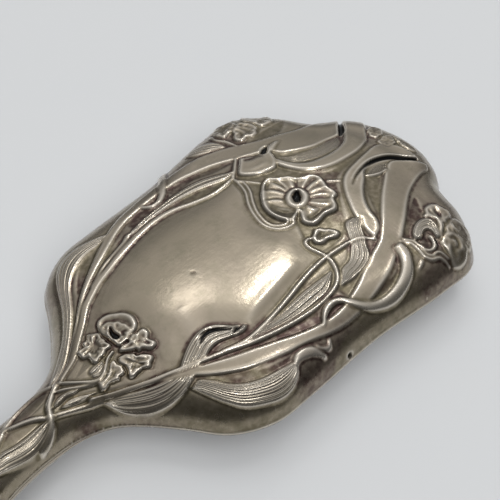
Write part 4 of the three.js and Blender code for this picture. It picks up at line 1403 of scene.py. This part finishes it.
def fibre_faces(first):
    """Side faces and the two ends of one bristle."""
    faces = []
    last = first + (len(FIBRE_RINGS) - 1) * FIBRE_SIDES
    for start in range(first, last, FIBRE_SIDES):
        faces += ring_faces(start, start + FIBRE_SIDES, FIBRE_SIDES)
    faces.append([first, first + 1, first + 2])
    faces.append([last + 2, last + 1, last])
    return faces


def tuft(x, y):
    """Root, tip and lean of each bristle of a tuft, on a sunflower spiral that opens out to the tips."""
    bristles = []
    start = RNG.uniform(0, 2 * math.pi)
    for k in range(FIBRES):
        share = math.sqrt((k + 0.5) / FIBRES)
        turn = start + GOLDEN_ANGLE * k
        way = np.array([math.cos(turn), math.sin(turn), 0])
        centre = np.array([x, y, 0])
        jitter = RNG.normal(0, 0.07, 3) * (1, 1, 0)
        root = centre + way * share * ROOT_SPREAD + np.array([0, 0, DRAWN_Z])
        trim = np.array([0, 0, 0.5 * RNG.random() ** 2])
        tip = centre + way * share * (TUFT_SPREAD - 0.06) + jitter * share + trim
        bristles.append((root, tip, RNG.normal(0, 0.35, 3) * (1, 1, 0)))
    return bristles


def twisted_wire(x_from, x_to, y):
    """The wire drawn along the back of a row: two strands twisted together."""
    points, faces = [], []
    steps = int((x_to - x_from) / WIRE_STEP)
    for strand in (0, math.pi):
        first = len(points)
        last = first + steps * WIRE_SIDES
        for x in (x_from + (x_to - x_from) * i / steps for i in range(steps + 1)):
            turn = strand + STRAND_TURN * x
            offset = STRAND_OFFSET * np.array([0, math.cos(turn), math.sin(turn)])
            for k in range(WIRE_SIDES):
                around = 2 * math.pi * k / WIRE_SIDES
                reach = WIRE_RADIUS * np.array([0, math.cos(around), math.sin(around)])
                points.append(np.array([x, y, WIRE_Z]) + offset + reach)
        for start in range(first, last, WIRE_SIDES):
            faces += ring_faces(start + WIRE_SIDES, start, WIRE_SIDES)
        faces.append([first + k for k in range(WIRE_SIDES)][::-1])
        faces.append([last + k for k in range(WIRE_SIDES)])
    return points, faces


def bristle_row(node):
    """The tufts of one row with the wire that draws them."""
    low, high = box_mm(node)
    places = tuft_places(node)
    points, faces = [], []
    for place in places:
        for root, tip, lean in tuft(*place):
            faces += fibre_faces(len(points))
            points += fibre(root, tip, lean)
    hairs = len(faces)
    wire_points, wire_faces = twisted_wire(low[0], high[0], places[0][1])
    faces += [[len(points) + v for v in face] for face in wire_faces]
    piece = make_mesh(node + "_tufts", points + wire_points, faces)
    finish_piece(piece, "bristle", BRISTLE, node)
    piece.data.materials.append(WIRE)
    slots = np.zeros(len(faces), np.int32)
    slots[hairs:] = 1
    piece.data.polygons.foreach_set("material_index", slots)


# ---------------------------------------------------------------- bristle board

BOARD_RINGS = [  # (height above the board's face, how far inside the outline)
    (0.0, 1.9), (0.08, 1.6), (0.3, 1.25), (0.65, 1.0), (1.1, 0.9), (2.6, 1.4), (4.4, 2.3), (5.5, 3.2),
]
BOARD_POINTS = 420  # along each half of a ring
BOARD_EDGE_ANGLE = 40  # degrees: a sharper edge isn't shaded round
HOLE_RADIUS = 1.25
HOLE_SIDES = 24


def level_loop(x, y, z):
    return np.column_stack([x, y, np.full(len(x), z)])


def board_ring(inset, z):
    """A loop inside the head's outline, cut off where the handle's underside ends.

    It runs anticlockwise seen from above, so that the wall built on it faces outward.
    """
    half = half_outline(0.25)
    way = unit(np.gradient(half, axis=0))
    half = half + inset * np.column_stack([way[:, 1], -way[:, 0]])
    half = half[(half[:, 0] > STOCK_END_X) & (half[:, 1] > 0)]
    x, y = points_along(half, np.linspace(0, running_length(half)[-1], BOARD_POINTS)).T
    return level_loop(np.r_[x[::-1], x], np.r_[y[::-1], -y], z)


def hole_ring(x, y, z):
    """A clockwise loop, so that the wall built on it faces the middle of the hole."""
    turn = np.linspace(0, 2 * math.pi, HOLE_SIDES, endpoint=False)
    return level_loop(x + HOLE_RADIUS * np.cos(turn), y - HOLE_RADIUS * np.sin(turn), z)


def flat_face(points, loops, facing_down):
    """Triangles that fill the first loop of vertices and leave the others open."""
    order = [v for loop in loops for v in loop]
    triangles = []
    for corners in tessellate_polygon([[Vector(points[v]) for v in loop] for loop in loops]):
        ring = [order[v] for v in corners]
        a, b, c = (Vector(points[v]) for v in ring)
        is_down = (b - a).cross(c - a).z < 0
        triangles.append(ring if is_down == facing_down else ring[::-1])
    return triangles


def bristle_board():
    """The wooden board: a fine outline with a rounded lower edge, drilled through at every tuft."""
    low, _ = box_mm("bristle_board")
    levels = [low[2] + rise for rise, _ in BOARD_RINGS]
    walls = [[board_ring(inset, z) for z, (_, inset) in zip(levels, BOARD_RINGS)]]
    for row in nodes_named("bristle_row"):
        walls += [[hole_ring(x, y, z) for z in (levels[0], levels[-1])] for x, y in tuft_places(row)]
    points, faces, low_loops, high_loops = [], [], [], []
    for wall in walls:
        count = len(wall[0])
        first = len(points)
        last = first + (len(wall) - 1) * count
        points += np.vstack(wall).tolist()
        for start in range(first, last, count):
            faces += ring_faces(start + count, start, count)
        low_loops.append(range(first, first + count))
        high_loops.append(range(last, last + count))
    faces += flat_face(points, low_loops, True) + flat_face(points, high_loops, False)
    piece = make_mesh("bristle_board_drilled", points, faces)
    piece.data.set_sharp_from_angle(angle=math.radians(BOARD_EDGE_ANGLE))
    finish_piece(piece, "dark_wood", DARK_WOOD, "bristle_board")


silver_back()
handle_underside()
bristle_board()
for row_name in nodes_named("bristle_row"):
    bristle_row(row_name)
for pin_name in nodes_named("rim_pin"):
    rim_pin(pin_name)
refinish("cover_board", PALE_WOOD)
refinish("handle_core", PALE_WOOD)
refinish("head_filler", PITCH)


# ---------------------------------------------------------------- floor, light and camera

FLOOR_SIZE = 40.0  # metres from the middle to each edge
LIGHT_TARGET = (0, 0, 0.02)
SKY_PEAK = Vector((0.43, 0.27, 0.86)).normalized()  # the direction that the room is brightest in
SKY_STOPS = [  # (share of the way from the opposite direction to the peak, brightness)
    (0.55, 0.11), (0.79, 0.19), (0.885, 0.43), (0.962, 0.63), (0.985, 0.78), (1.0, 0.92),
]
HORIZON = (0.62, 0.625, 0.63)  # what the camera sees past the floor
CAMERA = {"azimuth": -49.32, "elevation": 43.97, "roll": 0.62, "distance": 222.66, "lens": 63.37,
          "target": (-5.77, 3.65, RIM_Z)}


def floor_piece():
    shade = Shade("pale_table")
    speckle = shade.noise(35, 2)
    shade.drive("Base Color", shade.mix(speckle, (0.39, 0.398, 0.406), (0.395, 0.401, 0.406)))
    shade.fixed(Roughness=0.75)
    mesh = bpy.data.meshes.new("floor")
    corners = [(x * FLOOR_SIZE, y * FLOOR_SIZE, 0) for x, y in ((-1, -1), (1, -1), (1, 1), (-1, 1))]
    mesh.from_pydata(corners, [], [(0, 1, 2, 3)])
    floor = add_object("floor", mesh)
    mesh.materials.append(shade.material)


def sky_glow(nodes, links):
    """Brightness by how near a direction is to the peak."""
    direction = nodes.new("ShaderNodeTexCoord")
    toward = nodes.new("ShaderNodeVectorMath")
    toward.operation = "DOT_PRODUCT"
    toward.inputs[1].default_value = SKY_PEAK
    links.new(direction.outputs["Generated"], toward.inputs[0])
    share = nodes.new("ShaderNodeMapRange")
    share.inputs["From Min"].default_value = -1.0
    links.new(toward.outputs["Value"], share.inputs["Value"])
    glow = nodes.new("ShaderNodeValToRGB")
    elements = glow.color_ramp.elements
    while len(elements) < len(SKY_STOPS):
        elements.new(0.5)
    for element, (position, value) in zip(elements, SKY_STOPS):
        element.position = position
        element.color = (value, value, value, 1)
    links.new(share.outputs["Result"], glow.inputs[0])
    return glow.outputs[0]


def sky():
    """A room that is brightest round one direction overhead, and plain where the camera sees it."""
    world = bpy.data.worlds.new("studio")
    bpy.context.scene.world = world
    world.use_nodes = True
    nodes, links = world.node_tree.nodes, world.node_tree.links
    seen = nodes.new("ShaderNodeMix")
    seen.data_type = "RGBA"
    seen.inputs[7].default_value = (*HORIZON, 1)
    links.new(nodes.new("ShaderNodeLightPath").outputs["Is Camera Ray"], seen.inputs[0])
    links.new(sky_glow(nodes, links), seen.inputs[6])
    links.new(seen.outputs[2], nodes["Background"].inputs["Color"])


def add_light(name, kind, energy):
    light = bpy.data.lights.new(name, kind)
    light.energy = energy
    return add_object(name, light)


def broad_sun(name, way, strength, degrees):
    """A very soft light from far off that lights the floor evenly and isn't mirrored in the silver."""
    lamp = add_light(name, "SUN", strength)
    lamp.data.angle = math.radians(degrees)
    lamp.rotation_euler = Vector(way).to_track_quat("Z", "Y").to_euler()
    lamp.visible_glossy = False


def round_lamp(name, place, size, power):
    """A lamp whose reflection is a highlight in the silver."""
    lamp = add_light(name, "AREA", power)
    lamp.data.shape = "DISK"
    lamp.data.size = size
    lamp.location = place
    lamp.rotation_euler = (Vector(LIGHT_TARGET) - Vector(place)).to_track_quat("-Z", "Y").to_euler()


def light_scene():
    sky()
    broad_sun("daylight", (-0.05, 0.1, 1.0), 0.9, 45)
    broad_sun("bounce", (-0.45, -0.6, 0.85), 3.85, 55)
    round_lamp("lamp", (0.35, 0.43, 0.83), 0.18, 0.16)
    round_lamp("strip", (0.53, 0.24, 0.815), 0.06, 0.40)
    round_lamp("window", (0.13, -0.17, 0.96), 0.15, 0.65)


def add_camera():
    azimuth, elevation, tilt = (math.radians(CAMERA[k]) for k in ("azimuth", "elevation", "roll"))
    away = Vector((math.sin(azimuth) * math.cos(elevation), -math.cos(azimuth) * math.cos(elevation),
                   math.sin(elevation)))
    level = Vector((math.cos(azimuth), math.sin(azimuth), 0))
    upward = away.cross(level)
    right = level * math.cos(tilt) + upward * math.sin(tilt)
    up = upward * math.cos(tilt) - level * math.sin(tilt)
    place = (Vector(CAMERA["target"]) + away * CAMERA["distance"]) * MM
    data = bpy.data.cameras.new("camera")
    data.lens = CAMERA["lens"]
    data.sensor_width = 36
    data.clip_start = 0.01
    camera = add_object("camera", data)
    turned = Matrix((right, up, away)).transposed().to_4x4()
    camera.matrix_world = Matrix.Translation(place) @ turned
    bpy.context.scene.camera = camera


bpy.context.scene.view_settings.view_transform = "Standard"
floor_piece()
light_scene()
add_camera()
